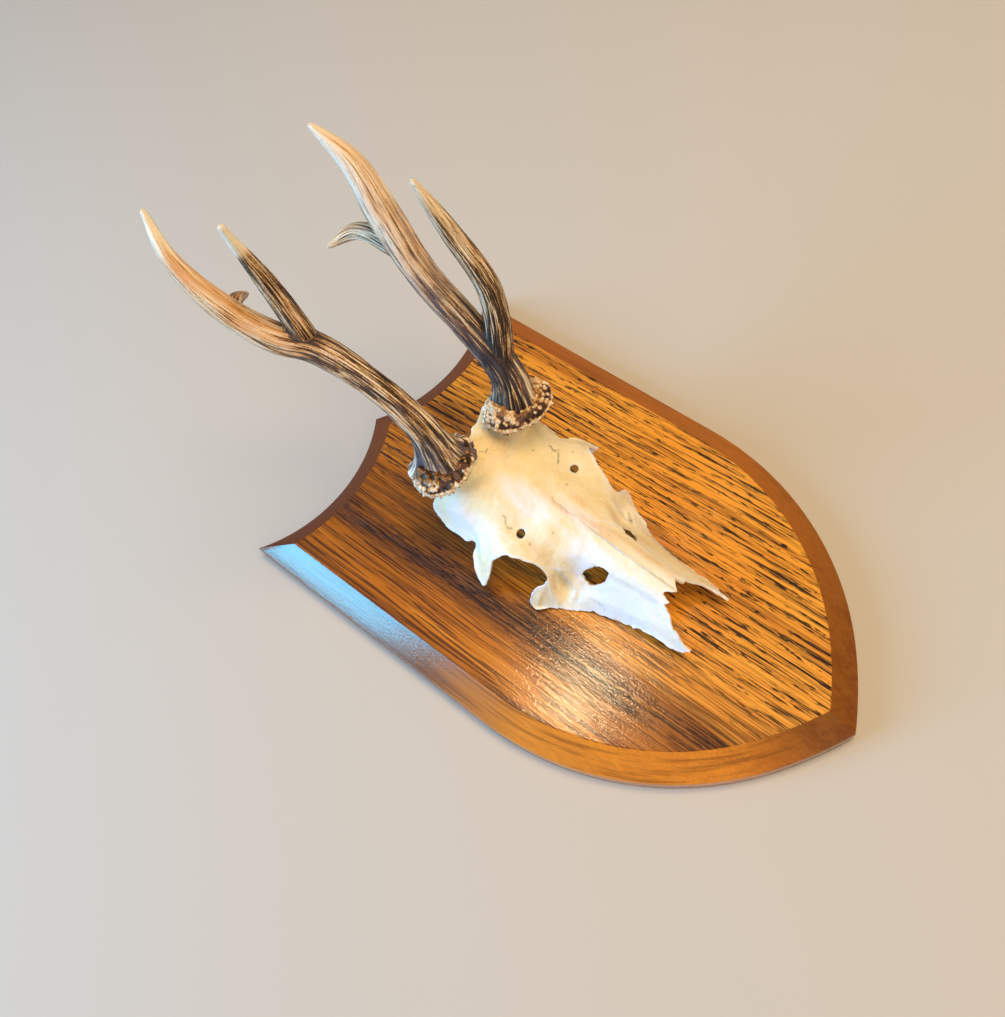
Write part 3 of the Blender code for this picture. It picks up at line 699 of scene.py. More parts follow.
def noise(points: Array, seed: int = 0) -> Array:
    """Smooth noise from -1 to 1 that changes over about one unit.

    Args:
        points: places, three numbers each.
        seed: picks the pattern.

    Returns:
        One number for each place.
    """
    base = np.floor(points)
    part = points - base
    fade = part * part * (3 - 2 * part)
    total = np.zeros(len(points))
    for corner in itertools.product((0, 1), repeat=3):
        weight = np.prod(np.where(corner, fade, 1 - fade), axis=1)
        total += weight * lattice(base + corner, seed)
    return 2 * total - 1


def layered(points: Array, seed: int = 0, layers: int = 3) -> Array:
    """Noise with finer and weaker layers added."""
    return sum(noise(points * 2**k, seed + k) / 2**k for k in range(layers)) / (2 - 2.0**(1 - layers))


def dots(points: Array, seed: int = 0) -> tuple[Array, Array]:
    """Dots strewn one to a unit cell.

    Args:
        points: places, three numbers each.
        seed: picks the pattern.

    Returns:
        The distance from each place to the nearest dot, and that dot's own number from 0 to 1.
    """
    base = np.floor(points)
    nearest = np.full(len(points), 9.0)
    own = np.zeros(len(points))
    for step in itertools.product((-1, 0, 1), repeat=3):
        cell = base + step
        centre = cell + np.stack([lattice(cell, seed + k) for k in range(3)], axis=1)
        away = np.linalg.norm(points - centre, axis=1)
        closer = away < nearest
        nearest[closer] = away[closer]
        own[closer] = lattice(cell, seed + 7)[closer]
    return nearest, own


# --- curves and interpolation ---


def smooth_chain(points: Array, steps: int) -> Array:
    """Run a rounded curve through points.

    Args:
        points: places that the curve passes, in order.
        steps: number of steps between neighbours.

    Returns:
        Places along the curve, both ends among them.
    """
    points = np.asarray(points, float)
    ends = np.vstack([2 * points[0] - points[1], points, 2 * points[-1] - points[-2]])
    chain = []
    for before, start, stop, after in zip(ends, ends[1:], ends[2:], ends[3:]):
        near, mid, far = (
            max(np.linalg.norm(b - a), 1e-9) ** 0.5
            for a, b in ((before, start), (start, stop), (stop, after))
        )
        lead = (stop - start) + mid * ((start - before) / near - (stop - before) / (near + mid))
        trail = (stop - start) + mid * ((after - stop) / far - (after - start) / (mid + far))
        t = np.arange(steps)[:, None] / steps
        chain.append(hermite(start, stop, lead, trail, t))
    return np.vstack([*chain, points[-1:]])


def hermite(p1: Array, p2: Array, m1: Array, m2: Array, t: Array) -> Array:
    """Points at t on the cubic from p1 to p2 with end slopes m1 and m2."""
    return (p1 * (2 * t**3 - 3 * t**2 + 1) + m1 * (t**3 - 2 * t**2 + t)
            + p2 * (3 * t**2 - 2 * t**3) + m2 * (t**3 - t**2))


def monotone(knots: Array, values: Array, at: Array) -> Array:
    """Interpolate without overshoot, and hold the end values beyond the knots.

    Args:
        knots: rising places, one row for all or one for each place read.
        values: values at the knots, shaped as the knots are.
        at: places to read.

    Returns:
        One value for each place read.
    """
    at = np.asarray(at, float)
    knots = np.broadcast_to(knots, (len(at), np.shape(knots)[-1]))
    values = np.broadcast_to(values, knots.shape)
    widths = np.diff(knots, axis=1)
    rises = np.diff(values, axis=1) / widths
    product = rises[:, :-1] * rises[:, 1:]
    total = rises[:, :-1] + rises[:, 1:]
    middle = np.where(product > 0, 2 * product / np.where(total == 0, 1, total), 0.0)
    slopes = np.hstack([rises[:, :1], middle, rises[:, -1:]])
    held = np.clip(at, knots[:, 0], knots[:, -1])
    index = np.clip((knots <= held[:, None]).sum(axis=1) - 1, 0, knots.shape[1] - 2)
    row = np.arange(len(at))
    width = widths[row, index]
    t = (held - knots[row, index]) / width
    return hermite(values[row, index], values[row, index + 1], slopes[row, index] * width,
                   slopes[row, index + 1] * width, t)


def evenly(chain: Array, spacing: float) -> Array:
    """Places at even spacing along a chain, both ends among them.

    Args:
        chain: places in order.
        spacing: the distance wanted between them.

    Returns:
        The evenly spaced places.
    """
    lengths = np.concatenate([[0], np.cumsum(np.linalg.norm(np.diff(chain, axis=0), axis=1))])
    count = max(2, round(lengths[-1] / spacing))
    at = np.linspace(0, lengths[-1], count + 1)
    return np.stack([np.interp(at, lengths, column) for column in chain.T], axis=1)


def inside(points: Array, loop: Array) -> Array:
    """Whether each plan point is within a closed outline.

    Args:
        points: plan points.
        loop: the closed outline.

    Returns:
        True for each point that is within it.
    """
    x, y = points[:, :1], points[:, 1:2]
    a, b = loop, np.roll(loop, -1, axis=0)
    rise = np.where(b[:, 1] == a[:, 1], 1e-12, b[:, 1] - a[:, 1])
    straddles = (a[:, 1] > y) != (b[:, 1] > y)
    crossing = a[:, 0] + (y - a[:, 1]) * (b[:, 0] - a[:, 0]) / rise
    return ((x < crossing) & straddles).sum(axis=1) % 2 == 1


def distance_to(points: Array, loop: Array) -> Array:
    """Distance from each plan point to the nearest place of a finely divided outline.

    Args:
        points: plan points.
        loop: the outline.

    Returns:
        One distance for each point.
    """
    tree = KDTree(len(loop))
    for index, (x, y) in enumerate(loop):
        tree.insert((x, y, 0), index)
    tree.balance()
    return np.array([tree.find((x, y, 0))[2] for x, y in points])


def bell(points: Array, centre: tuple[float, ...], *spread: float) -> Array:
    """Soft spot that is 1 at its centre, with a spread along each axis."""
    return np.exp(-(((points[:, :len(centre)] - np.array(centre)) / np.array(spread)) ** 2).sum(axis=1))


# --- meshes ---


def turned(sides: int) -> Array:
    """Angles of evenly spaced spokes round a full turn."""
    return np.linspace(0, 2 * math.pi, sides + 1)[:-1]


def spokes(angles: Array) -> Array:
    """Unit vectors at angles in the plan."""
    return np.stack([np.cos(angles), np.sin(angles)], axis=1)


def mesh_object(name: str, points: Array, faces: list) -> Piece:
    """Make a linked, smooth-shaded object from places in millimetres on the corner line.

    Args:
        name: of the object.
        points: places in millimetres, laid out from the line between the top corners.
        faces: vertex numbers of each face.

    Returns:
        The object, its mesh in metres in the row frame.
    """
    mesh = bpy.data.meshes.new(name)
    mesh.from_pydata(((points + (0, LINE_HEIGHT, 0)) * MM).tolist(), [], faces)
    mesh.validate()
    mesh.shade_smooth()
    obj = bpy.data.objects.new(name, mesh)
    bpy.context.scene.collection.objects.link(obj)
    return obj


def places_of(obj: Piece) -> Array:
    """Vertex places in millimetres, laid out from the line between the top corners.

    Args:
        obj: the object.

    Returns:
        One row for each vertex.
    """
    flat = np.zeros(len(obj.data.vertices) * 3, np.float32)
    obj.data.vertices.foreach_get("co", flat)
    return flat.reshape(-1, 3).astype(float) / MM - (0, LINE_HEIGHT, 0)


def normals_of(obj: Piece) -> Array:
    """Unit normals of the vertices.

    Args:
        obj: the object.

    Returns:
        One row for each vertex.
    """
    flat = np.zeros(len(obj.data.vertices) * 3, np.float32)
    obj.data.vertex_normals.foreach_get("vector", flat)
    return flat.reshape(-1, 3).astype(float)


def move_to(obj: Piece, points: Array) -> None:
    """Put the vertices at places given in millimetres."""
    obj.data.vertices.foreach_set("co", ((points + (0, LINE_HEIGHT, 0)) * MM).astype(np.float32).ravel())
    obj.data.update()


def carry(obj: Piece, **values: Array) -> None:
    """Store numbers from 0 to 1 on the vertices, for the material to read.

    Args:
        obj: the piece.
        **values: numbers for each vertex, by the name that the material reads.
    """
    for name, numbers in values.items():
        layer = obj.data.attributes.new(name, "FLOAT", "POINT")
        layer.data.foreach_set("value", np.clip(numbers, 0, 1).astype(np.float32))


def carry_places(obj: Piece, name: str, places: Array) -> None:
    """Store three numbers on each vertex, for the material to read."""
    layer = obj.data.attributes.new(name, "FLOAT_VECTOR", "POINT")
    layer.data.foreach_set("vector", places.astype(np.float32).ravel())


def relaxed(obj: Piece, points: Array, weight: Array, rounds: int) -> Array:
    """Smooth the vertices where a weight says so.

    Args:
        obj: the object, for its edges.
        points: the vertex places.
        weight: from 0, held, to 1, free, for each vertex.
        rounds: how often each vertex moves half-way to the middle of its neighbours.

    Returns:
        The smoothed places.
    """
    flat = np.zeros(len(obj.data.edges) * 2, np.int32)
    obj.data.edges.foreach_get("vertices", flat)
    ends = np.concatenate([flat.reshape(-1, 2), flat.reshape(-1, 2)[:, ::-1]])
    count = np.bincount(ends[:, 0], minlength=len(points))[:, None]
    for _ in range(rounds):
        total = np.stack([np.bincount(ends[:, 0], points[ends[:, 1], k], len(points)) for k in range(3)],
                         axis=1)
        points = points + 0.5 * weight[:, None] * (total / np.maximum(count, 1) - points)
    return points


def settle(obj: Piece) -> None:
    """Turn what an object's modifiers make into its plain mesh.

    Args:
        obj: the object, which ends without modifiers.
    """
    graph = bpy.context.evaluated_depsgraph_get()
    obj.data = bpy.data.meshes.new_from_object(obj.evaluated_get(graph))
    obj.modifiers.clear()


def carve(obj: Piece, tools: list[Piece], crease: float) -> None:
    """Cut solids out of a closed mesh and keep its sharp edges crisp.

    Args:
        obj: the mesh that is cut.
        tools: the solids, which are used up.
        crease: edges that turn by more than this angle stay sharp, in degrees.
    """
    for tool in tools:
        cut = obj.modifiers.new(tool.name, "BOOLEAN")
        cut.operation, cut.solver, cut.object = "DIFFERENCE", "EXACT", tool
    settle(obj)
    for tool in tools:
        bpy.data.objects.remove(tool)
    obj.data.shade_smooth()
    obj.data.set_sharp_from_angle(angle=math.radians(crease))


def fused(name: str, parts: list[Piece], cell: float) -> Piece:
    """Join closed meshes that overlap into one skin.

    Args:
        name: of the new object.
        parts: closed meshes, which are used up.
        cell: size of the skin's faces, in millimetres.

    Returns:
        The new object.
    """
    bm = bmesh.new()
    for part in parts:
        bm.from_mesh(part.data)
        bpy.data.objects.remove(part)
    mesh = bpy.data.meshes.new(name)
    bm.to_mesh(mesh)
    bm.free()
    obj = bpy.data.objects.new(name, mesh)
    bpy.context.scene.collection.objects.link(obj)
    skin = obj.modifiers.new("skin", "REMESH")
    skin.mode = "VOXEL"
    skin.voxel_size = cell * MM
    skin.adaptivity = 0
    skin.use_smooth_shade = True
    settle(obj)
    obj.data.name = name
    obj.data.shade_smooth()
    return obj


def face_out(obj: Piece) -> None:
    """Turn all faces of a closed mesh to look outwards, and keep it smooth.

    Args:
        obj: the closed mesh.
    """
    bm = bmesh.new()
    bm.from_mesh(obj.data)
    bmesh.ops.recalc_face_normals(bm, faces=bm.faces)
    bmesh.ops.triangulate(bm, faces=[f for f in bm.faces if len(f.verts) > 4])
    bm.to_mesh(obj.data)
    bm.free()
    obj.data.shade_smooth()


def tube_faces(rings: int, sides: int) -> list[tuple[int, ...]]:
    """Faces of a closed tube of rings that lie one after another, with flat caps.

    Args:
        rings: how many rings there are.
        sides: vertices in each.

    Returns:
        Vertex numbers of each face.
    """
    faces = [tuple(range(sides))[::-1], tuple((rings - 1) * sides + k for k in range(sides))]
    for ring, k in itertools.product(range(rings - 1), range(sides)):
        here, after = ring * sides + k, ring * sides + (k + 1) % sides
        faces.append((here, after, after + sides, here + sides))
    return faces


def knob(name: str, centre: Array, axes: Array) -> Piece:
    """Closed ellipsoid.

    Args:
        name: of the object.
        centre: in millimetres.
        axes: three rows, each a half-axis in millimetres.

    Returns:
        The object.
    """
    bm = bmesh.new()
    bmesh.ops.create_icosphere(bm, subdivisions=2, radius=1)
    unit = np.array([v.co for v in bm.verts])
    faces = [tuple(v.index for v in f.verts) for f in bm.faces]
    bm.free()
    return mesh_object(name, centre + unit @ axes, faces)


def show(obj: Piece, finish: Finish, slot: Slot, *nodes: str) -> Piece:
    """Dress a piece, let it ride on the part and stand for its CAD nodes.

    Args:
        obj: the piece.
        finish: its finish.
        slot: the record's slot that the finish belongs to; not used.
        nodes: the CAD nodes that it stands for.

    Returns:
        The piece.
    """
    obj.data.materials.clear()
    obj.data.materials.append(finish.material())
    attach(obj, "root")
    if nodes:
        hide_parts(*nodes)
    LOG.info("%s: %d faces in %s", obj.name, len(obj.data.polygons), finish.name)
    return obj


# --- shield ---


@dataclass(frozen=True)
class OakShield:
    """Bevelled shield, 20 mm thick, with the recesses for its hardware in the back."""

    width: float = 203.0           # between the two top corners
    side_length: float = 167.0
    side_splay: float = -0.009     # radians
    flank_radius: float = 154.0
    flank_turn: float = 0.96       # radians
    tip_radius: float = 213.0
    top_sag: float = 16.3
    thickness: float = 20.0
    edge_height: float = 10.0
    bevel_width: float = 13.2
    arris: float = 0.5             # rounding of the sharp edges

    def outline(self, inset: float, fine: int) -> Array:
        """Closed outline of the shield.

        Args:
            inset: how far it is drawn in, in millimetres.
            fine: steps along each stretch.

        Returns:
            Plan places, anticlockwise, the same number for every inset.
        """
        span = self.width / 2
        hollow_radius = (span**2 / 4 + self.top_sag**2) / (2 * self.top_sag)
        hollow = np.array([span / 2, hollow_radius - self.top_sag])
        down = np.array([math.sin(self.side_splay), -math.cos(self.side_splay)])
        inward = np.array([down[1], -down[0]])
        corner = np.array([span, 0.0])
        start = corner + inward * inset
        along, aside = (hollow - start) @ down, (hollow - start) @ inward
        reach = hollow_radius + inset
        turn_in = start + down * (along + math.sqrt(reach**2 - aside**2))
        first = -math.pi / 2 - math.asin(hollow[0] / reach)
        last = math.atan2(*(turn_in - hollow)[::-1])
        top = hollow + reach * spokes(np.linspace(first, last, fine + 1))
        side = start + down * np.linspace((turn_in - start) @ down, self.side_length, fine + 1)[:, None]
        flank_centre = corner + down * self.side_length + inward * self.flank_radius
        lead = math.atan2(-inward[1], -inward[0])
        flank = flank_centre + (self.flank_radius - inset) * spokes(
            np.linspace(lead, lead - self.flank_turn, fine + 1))
        outward = spokes(np.array([lead - self.flank_turn]))[0]
        tip_centre = flank_centre + outward * (self.flank_radius - self.tip_radius)
        radius = self.tip_radius - inset
        final = -math.acos(-tip_centre[0] / radius)
        tip = tip_centre + radius * spokes(np.linspace(lead - self.flank_turn, final, fine + 1))
        tip[-1, 0] = 0.0
        half = np.vstack([top, side[1:], flank[1:], tip[1:]])
        return np.vstack([half, half[-2:0:-1] * (-1, 1)])[::-1]

    def profile(self) -> list[tuple[float, float]]:
        """Insets and heights of the rings from the back up to the face, with softened arrises.

        Returns:
            The inset and height of each ring, in millimetres.
        """
        slope = math.atan2(self.thickness - self.edge_height, self.bevel_width)
        soft = self.arris
        rings = [(0.8, 0.0), (0.25, 0.15), (0.0, 0.7)]
        rings += [(0.0, self.edge_height - soft)]
        for t in (0.35, 0.7, 1.0):
            rings.append((soft * math.cos(slope) * t**2, self.edge_height - soft * (1 - t)
                          + soft * math.sin(slope) * t**2))
        for t in (0.0, 0.35, 0.7, 1.0):
            back = soft * (1 - t)
            rings.append((self.bevel_width - back * math.cos(slope) + soft * t**2,
                          self.thickness - back * math.sin(slope) * (1 - t)))
        return rings

    def build(self) -> None:
        """Build the shield, cut its back and dress it."""
        fine = 48      # steps along each of the eight stretches of the outline
        rings = [np.column_stack([self.outline(inset, fine), np.full(8 * fine, height)])
                 for inset, height in self.profile()]
        sides = len(rings[0])
        obj = mesh_object("oak_shield", np.vstack(rings), tube_faces(len(rings), sides))
        face_out(obj)
        carve(obj, self.cutters(), 28)
        show(obj, OAK, Slot.OAK, "shield")
        # The edges and bevels that look up the board or to +X are only thinly varnished.
        obj.data.materials.append(OAK_ENDS.material())
        obj.data.polygons.foreach_set("material_index", [
            int(p.normal.y > 0.25 or (p.normal.x > 0.1 and p.normal.z < 0.95)) for p in obj.data.polygons
        ])

    @staticmethod
    def cutters() -> list[Piece]:
        """Solids that cut the recesses for the plate and the screws into the back.

        Returns:
            The solids, for carve to use up.
        """
        plate = HangingPlate()
        box = ((-1, -1), (1, -1), (1, 1), (-1, 1))
        round_off = spokes(turned(32))
        recess = np.array(box) * (plate.width / 2 + 0.3, plate.length / 2 + 0.3)
        pocket = np.array(box) * (5.5, 10.0)
        shapes = [(recess + (0, plate.y), 2.2), (pocket + (0, plate.y), 8.0)]
        for y in plate.screw_places():
            shapes.append((round_off * 1.8 + (0, y), 11.6))
        for y in BLOCK_SCREWS:
            shapes += [(round_off * 3.9 + (0, y), 4.0), (round_off * 1.8 + (0, y), 40.0)]
        made = []
        for number, (plan, top) in enumerate(shapes):
            rings = np.vstack([np.column_stack([plan, np.full(len(plan), z)]) for z in (-1.0, top)])
            made.append(mesh_object(f"cut_{number}", rings, tube_faces(2, len(plan))))
        return made


# --- hardware ---

BLOCK_SCREWS = (-125.0, -139.0)    # places of the two screws that hold the skull block


@dataclass(frozen=True)
class HangingPlate:
    """Pressed brass keyhole plate, kept from the part, and the screws round it."""

    y: float = -42.0
    length: float = 44.0
    width: float = 18.0
    screw_spacing: float = 32.0
    head_radius: float = 3.6
    head_depth: float = 1.2
    shank_radius: float = 1.5

    def screw_places(self) -> tuple[float, float]:
        """Distances of the plate's two screws up the shield."""
        return self.y - self.screw_spacing / 2, self.y + self.screw_spacing / 2

    def build(self, frame: dict) -> None:
        """Dress the plate and the block, and build all four screws.
        """
        for name, finish in (("hanging_plate", BRASS), ("skull_block", BEECH)):
            node = frame["nodes"][name]
            node.data.materials.clear()
            node.data.materials.append(finish.material())
            soften = node.modifiers.new("softened_edges", "BEVEL")
            soften.width, soften.segments, soften.limit_method = 0.15 * MM, 2, "ANGLE"
            LOG.info("%s: kept, in %s", name, finish.name)
        for number, y in enumerate(self.screw_places(), 1):
            self.screw(f"plate_screw_{number}", y, 0.3, 11.0, 0.4 + number)
        for number, y in enumerate(BLOCK_SCREWS, 1):
            self.screw(f"block_screw_{number}", y, 2.8, 34.0, 1.1 + number)

    def screw(self, name: str, y: float, depth: float, length: float, turned_by: float) -> None:
        """Build a countersunk, slotted wood screw.

        Args:
            name: of the CAD node that it stands for.
            y: distance up the shield.
            depth: of its head below the back face.
            length: over all.
            turned_by: angle of its slot, in radians.
        """
        head, shank = self.head_radius, self.shank_radius
        profile = [(0.02, 0.0), (head - 0.4, 0.0), (head - 0.1, 0.08), (head, 0.3),
                   (head - 0.1, 0.45), (shank, self.head_depth)]
        pitch = 1.4
        rise = self.head_depth + 0.4 * length
        profile += [(shank, rise)]
        while rise < length - 3:
            profile += [(shank * 0.72, rise + 0.2), (shank * 0.72, rise + pitch - 0.5), (shank, rise + pitch)]
            rise += pitch
        profile += [(0.05, length)]
        sides = 32
        round_off = spokes(turned(sides))
        rings = [np.column_stack([round_off * r + (0, y), np.full(sides, depth + z)]) for r, z in profile]
        obj = mesh_object(f"{name}_slotted", np.vstack(rings), tube_faces(len(rings), sides))
        face_out(obj)
        slot = ((-5, -0.45), (5, -0.45), (5, 0.45), (-5, 0.45))
        corners = np.array([[x, w, z] for z in (-1.0, 0.75) for x, w in slot])
        turn = np.array(Matrix.Rotation(turned_by, 3, "Z"))
        tool = mesh_object("slot", corners @ turn.T + (0, y, depth), tube_faces(2, 4))
        carve(obj, [tool], 35)
        show(obj, STEEL, Slot.STEEL, name)


# --- skull cap ---


@dataclass(frozen=True)
class Section:
    """Half cross-section of the cap: heights at the midline, shoulder, wall and edge."""

    y: float
    crown: float
    shoulder: tuple[float, float]
    wall: tuple[float, float]
    edge: tuple[float, float]


SECTIONS = (
    Section(-232, 43.0, (6, 41.0), (14, 34), (18, 24.5)),
    Section(-214, 46.0, (7, 43.2), (13.5, 36), (19.5, 27)),
    Section(-203, 47.4, (8, 44.0), (15, 34.5), (20.5, 25)),
    Section(-192, 49.0, (9, 44.8), (16, 34), (22.5, 22)),
    Section(-182, 50.5, (10, 45.5), (17, 34), (25, 21.5)),
    Section(-168, 53.5, (11, 48.5), (18, 35), (32, 21.5)),
    Section(-156, 57.0, (15, 52.0), (27.5, 43), (39, 24)),
    Section(-148, 60.0, (15, 56.5), (29, 51), (42, 33)),
    Section(-137, 63.5, (15, 59.5), (33, 54.5), (48, 32)),
    Section(-130, 66.8, (16, 62.5), (33, 54), (48, 31.5)),
    Section(-124, 69.5, (16, 65.5), (31, 55), (45, 36)),
    Section(-117, 72.5, (16, 69.0), (28, 59), (37, 43)),
    Section(-103, 79.5, (18, 77.5), (31, 63), (37, 46)),
    Section(-84, 77.0, (18, 78.0), (31, 68), (37, 54)),
)

# Plan outlines of one half of the cap, from the back round to the nose.
BACK_EDGE = ((0, -92), (9, -89), (20, -86), (30, -87), (35.5, -91.5))
TEMPORAL_EDGE = ((35.5, -91.5), (36.8, -97), (37.4, -103), (37, -110), (34.8, -117.2))
POSTORBITAL_SPIKE = ((34.8, -117.2), (41, -120), (46, -125), (47.8, -130), (44, -130.5), (38.5, -131))
ORBIT_RIM = ((38.5, -131), (35, -136), (32, -142), (29.6, -147.5), (27.8, -153.4))
CHEEK_RIMS = {
    Side.RIGHT: ((27.8, -153.4), (28.6, -156.6), (31.5, -156.5), (35, -154), (40, -153), (41, -157)),
    Side.LEFT: ((27.8, -153.4), (28.6, -156.6), (31.5, -157), (35, -156), (37.3, -156.5), (37, -159.5)),
}
CHEEK_EDGE = ((33.7, -164), (30, -172), (25.2, -181), (22, -193), (20.2, -206), (18.8, -224), (16.8, -231.3))
NOSE_RIM = ((16.8, -231.3), (15.4, -225), (13.3, -219.3), (10.7, -216), (8.3, -211))
NASAL_SUTURE = ((8.3, -211), (9.6, -197), (10.9, -182))
GAP_LOWER = ((10.9, -182), (14.2, -180), (17.5, -176), (17.8, -172), (16.8, -168))
GAP_UPPER = ((16.8, -168), (14, -170.5), (11.5, -173.6))
GAP_FRONT = ((11.5, -173.6), (10.6, -177.5), (10.9, -182))
LACRIMAL_SUTURE = ((16.8, -168), (20, -163), (24, -157.5), (27.8, -153.4))
FRONTAL_SUTURE = ((11.5, -173.6), (8, -166), (3, -161), (0, -160))
NASAL_TIPS = ((0, -213.3), (4.5, -208.7), (6.5, -212.6), (8.3, -211))

CORONET_AXIS = np.array([0.0, 0.26, 0.97]) / math.hypot(0.26, 0.97)
CORONET_LEAN = 0.10            # outward lean of each coronet


@dataclass(frozen=True)
class Mark:
    """Ridge, groove or crack of the bone, through plan points in millimetres."""

    path: tuple[tuple[float, float], ...]
    width: float
    rise: float                # above the bone, or below it if negative
    dark: float = 0.0

    def strength(self, plan: Array) -> Array:
        """How much each plan point has of the mark, from 0 to 1, fading at both ends.

        Args:
            plan: plan points.

        Returns:
            One number for each point.
        """
        path = smooth_chain(np.array(self.path, float), 5)
        reach = 2.5 * self.width
        close = ((plan > path.min(axis=0) - reach) & (plan < path.max(axis=0) + reach)).all(axis=1)
        made = np.zeros(len(plan))
        made[close] = self.along(plan[close], path)
        return made

    def along(self, plan: Array, path: Array) -> Array:
        """How much plan points near the mark have of it.

        Args:
            plan: plan points.
            path: the mark's smoothed line.

        Returns:
            One number for each point.
        """
        lengths = np.concatenate([[0], np.cumsum(np.linalg.norm(np.diff(path, axis=0), axis=1))])
        away, along = np.full(len(plan), 1e9), np.zeros(len(plan))
        for a, b, start in zip(path, path[1:], lengths):
            share = np.clip((plan - a) @ (b - a) / max((b - a) @ (b - a), 1e-12), 0, 1)
            distance = np.linalg.norm(plan - a - share[:, None] * (b - a), axis=1)
            closer = distance < away
            away[closer] = distance[closer]
            along[closer] = (start + share * np.linalg.norm(b - a))[closer]
        ends = np.minimum(along, lengths[-1] - along) / (1.5 * self.width) + 0.25
        return np.exp(-((away / self.width) ** 2)) * np.clip(ends, 0, 1)

    def mirrored(self) -> Mark:
        """The same mark on the other side."""
        return Mark(tuple((-x, y) for x, y in self.path), self.width, self.rise, self.dark)


@dataclass(frozen=True)
class Foot:
    """Where a coronet sits on the skull: its side and the middle of its underside."""

    side: Side
    base: tuple[float, float, float]

    def frame(self) -> Array:
        """Rows that point across, over and up the coronet's axis.

        Returns:
            A rotation, one axis to a row.
        """
        up = CORONET_AXIS + np.array([self.side.value * CORONET_LEAN, 0, 0])
        turn = Vector(up).normalized().to_track_quat("Z", "Y").to_matrix()
        return np.array(turn).T


PAIRED_MARKS = (
    Mark(((6.5, -110), (8.5, -124), (11.5, -140), (15, -153)), 3.2, 0.55),
    Mark(((3.2, -138), (4.2, -150), (3.2, -162)), 1.5, -0.35),
    Mark(((2.5, -164), (5.2, -178), (5.6, -194), (4.2, -208)), 2.4, 0.55),
    Mark(((14.2, -175), (12.4, -183), (11.0, -197), (9.8, -208)), 2.0, -0.55),
    Mark(((38.5, -131), (35, -136), (32, -142), (29.6, -147.5), (27.8, -153.4)), 1.5, 0.75),
    Mark(((24, -171), (20, -183), (17.5, -197), (16, -212)), 2.3, 0.6),
    Mark(((33, -97), (31, -108), (31.5, -116), (36, -122), (42, -127)), 1.7, 0.8),
    Mark(((30, -121), (33, -127), (37, -130)), 1.3, 0.45),
    Mark(((24, -141), (26.5, -147), (26, -153)), 1.6, -0.45),
    Mark(((22.5, -158.5), (20.8, -163.0), (22.0, -167.8), (27.0, -169.4)), 1.3, 0.9),
    Mark(((28.5, -157.5), (31.2, -160.5), (31.0, -165.5)), 1.3, 0.8),
    Mark(((33.5, -156.2), (37.0, -155.6), (40.0, -155.0)), 1.5, 1.0),
    Mark(((12.5, -112), (16, -118), (21, -121)), 1.4, -0.35),
)
SINGLE_MARKS = (
    Mark(((0, -96), (0.4, -108), (-0.6, -122)), 2.6, -0.45),
    Mark(((0.5, -124), (-0.5, -136), (0.8, -148), (0.3, -160)), 1.4, 0.35),
    Mark(((0, -161), (0.3, -176), (-0.2, -194), (0, -213)), 0.6, -0.5, 0.12),
    Mark(((-4, -120), (-8, -131), (-13, -143)), 3.4, -0.5),
    Mark(((23.5, -121.5), (21.7, -124.7), (22.6, -127.0), (20.5, -129.2), (17.5, -131.0)), 0.34, -0.40, 0.62),
    Mark(((21.7, -124.7), (23.4, -125.4), (24.6, -126.9)), 0.30, -0.35, 0.55),
    Mark(((-20.0, -126.2), (-21.6, -128.6), (-23.4, -130.4), (-22.6, -133.2)), 0.32, -0.35, 0.50),
    Mark(((-6.2, -102.4), (-4.4, -103.6), (-3.2, -105.2), (-1.2, -104.6)), 0.34, -0.40, 0.50),
    Mark(((0.3, -140), (-0.4, -148), (0.4, -155), (0, -160)), 0.28, -0.25, 0.35),
    Mark(((25.4, -160.8), (27.0, -163.2), (25.4, -166.0), (22.8, -169.6)), 0.75, -1.2, 0.85),
    Mark(((-10.9, -182), (-10.2, -190), (-9.6, -197), (-8.6, -209)), 0.9, -0.12, 0.12),
    Mark(((-22.4, -176), (-21.2, -181.5), (-22.2, -186)), 0.3, -0.2, 0.25),
    Mark(((10.4, -141.0), (11.2, -141.6)), 0.5, -0.4, 0.6),
    Mark(((-11.5, -174.5), (-14.0, -171.8), (-16.6, -169.2)), 0.5, -0.4, 0.25),
)


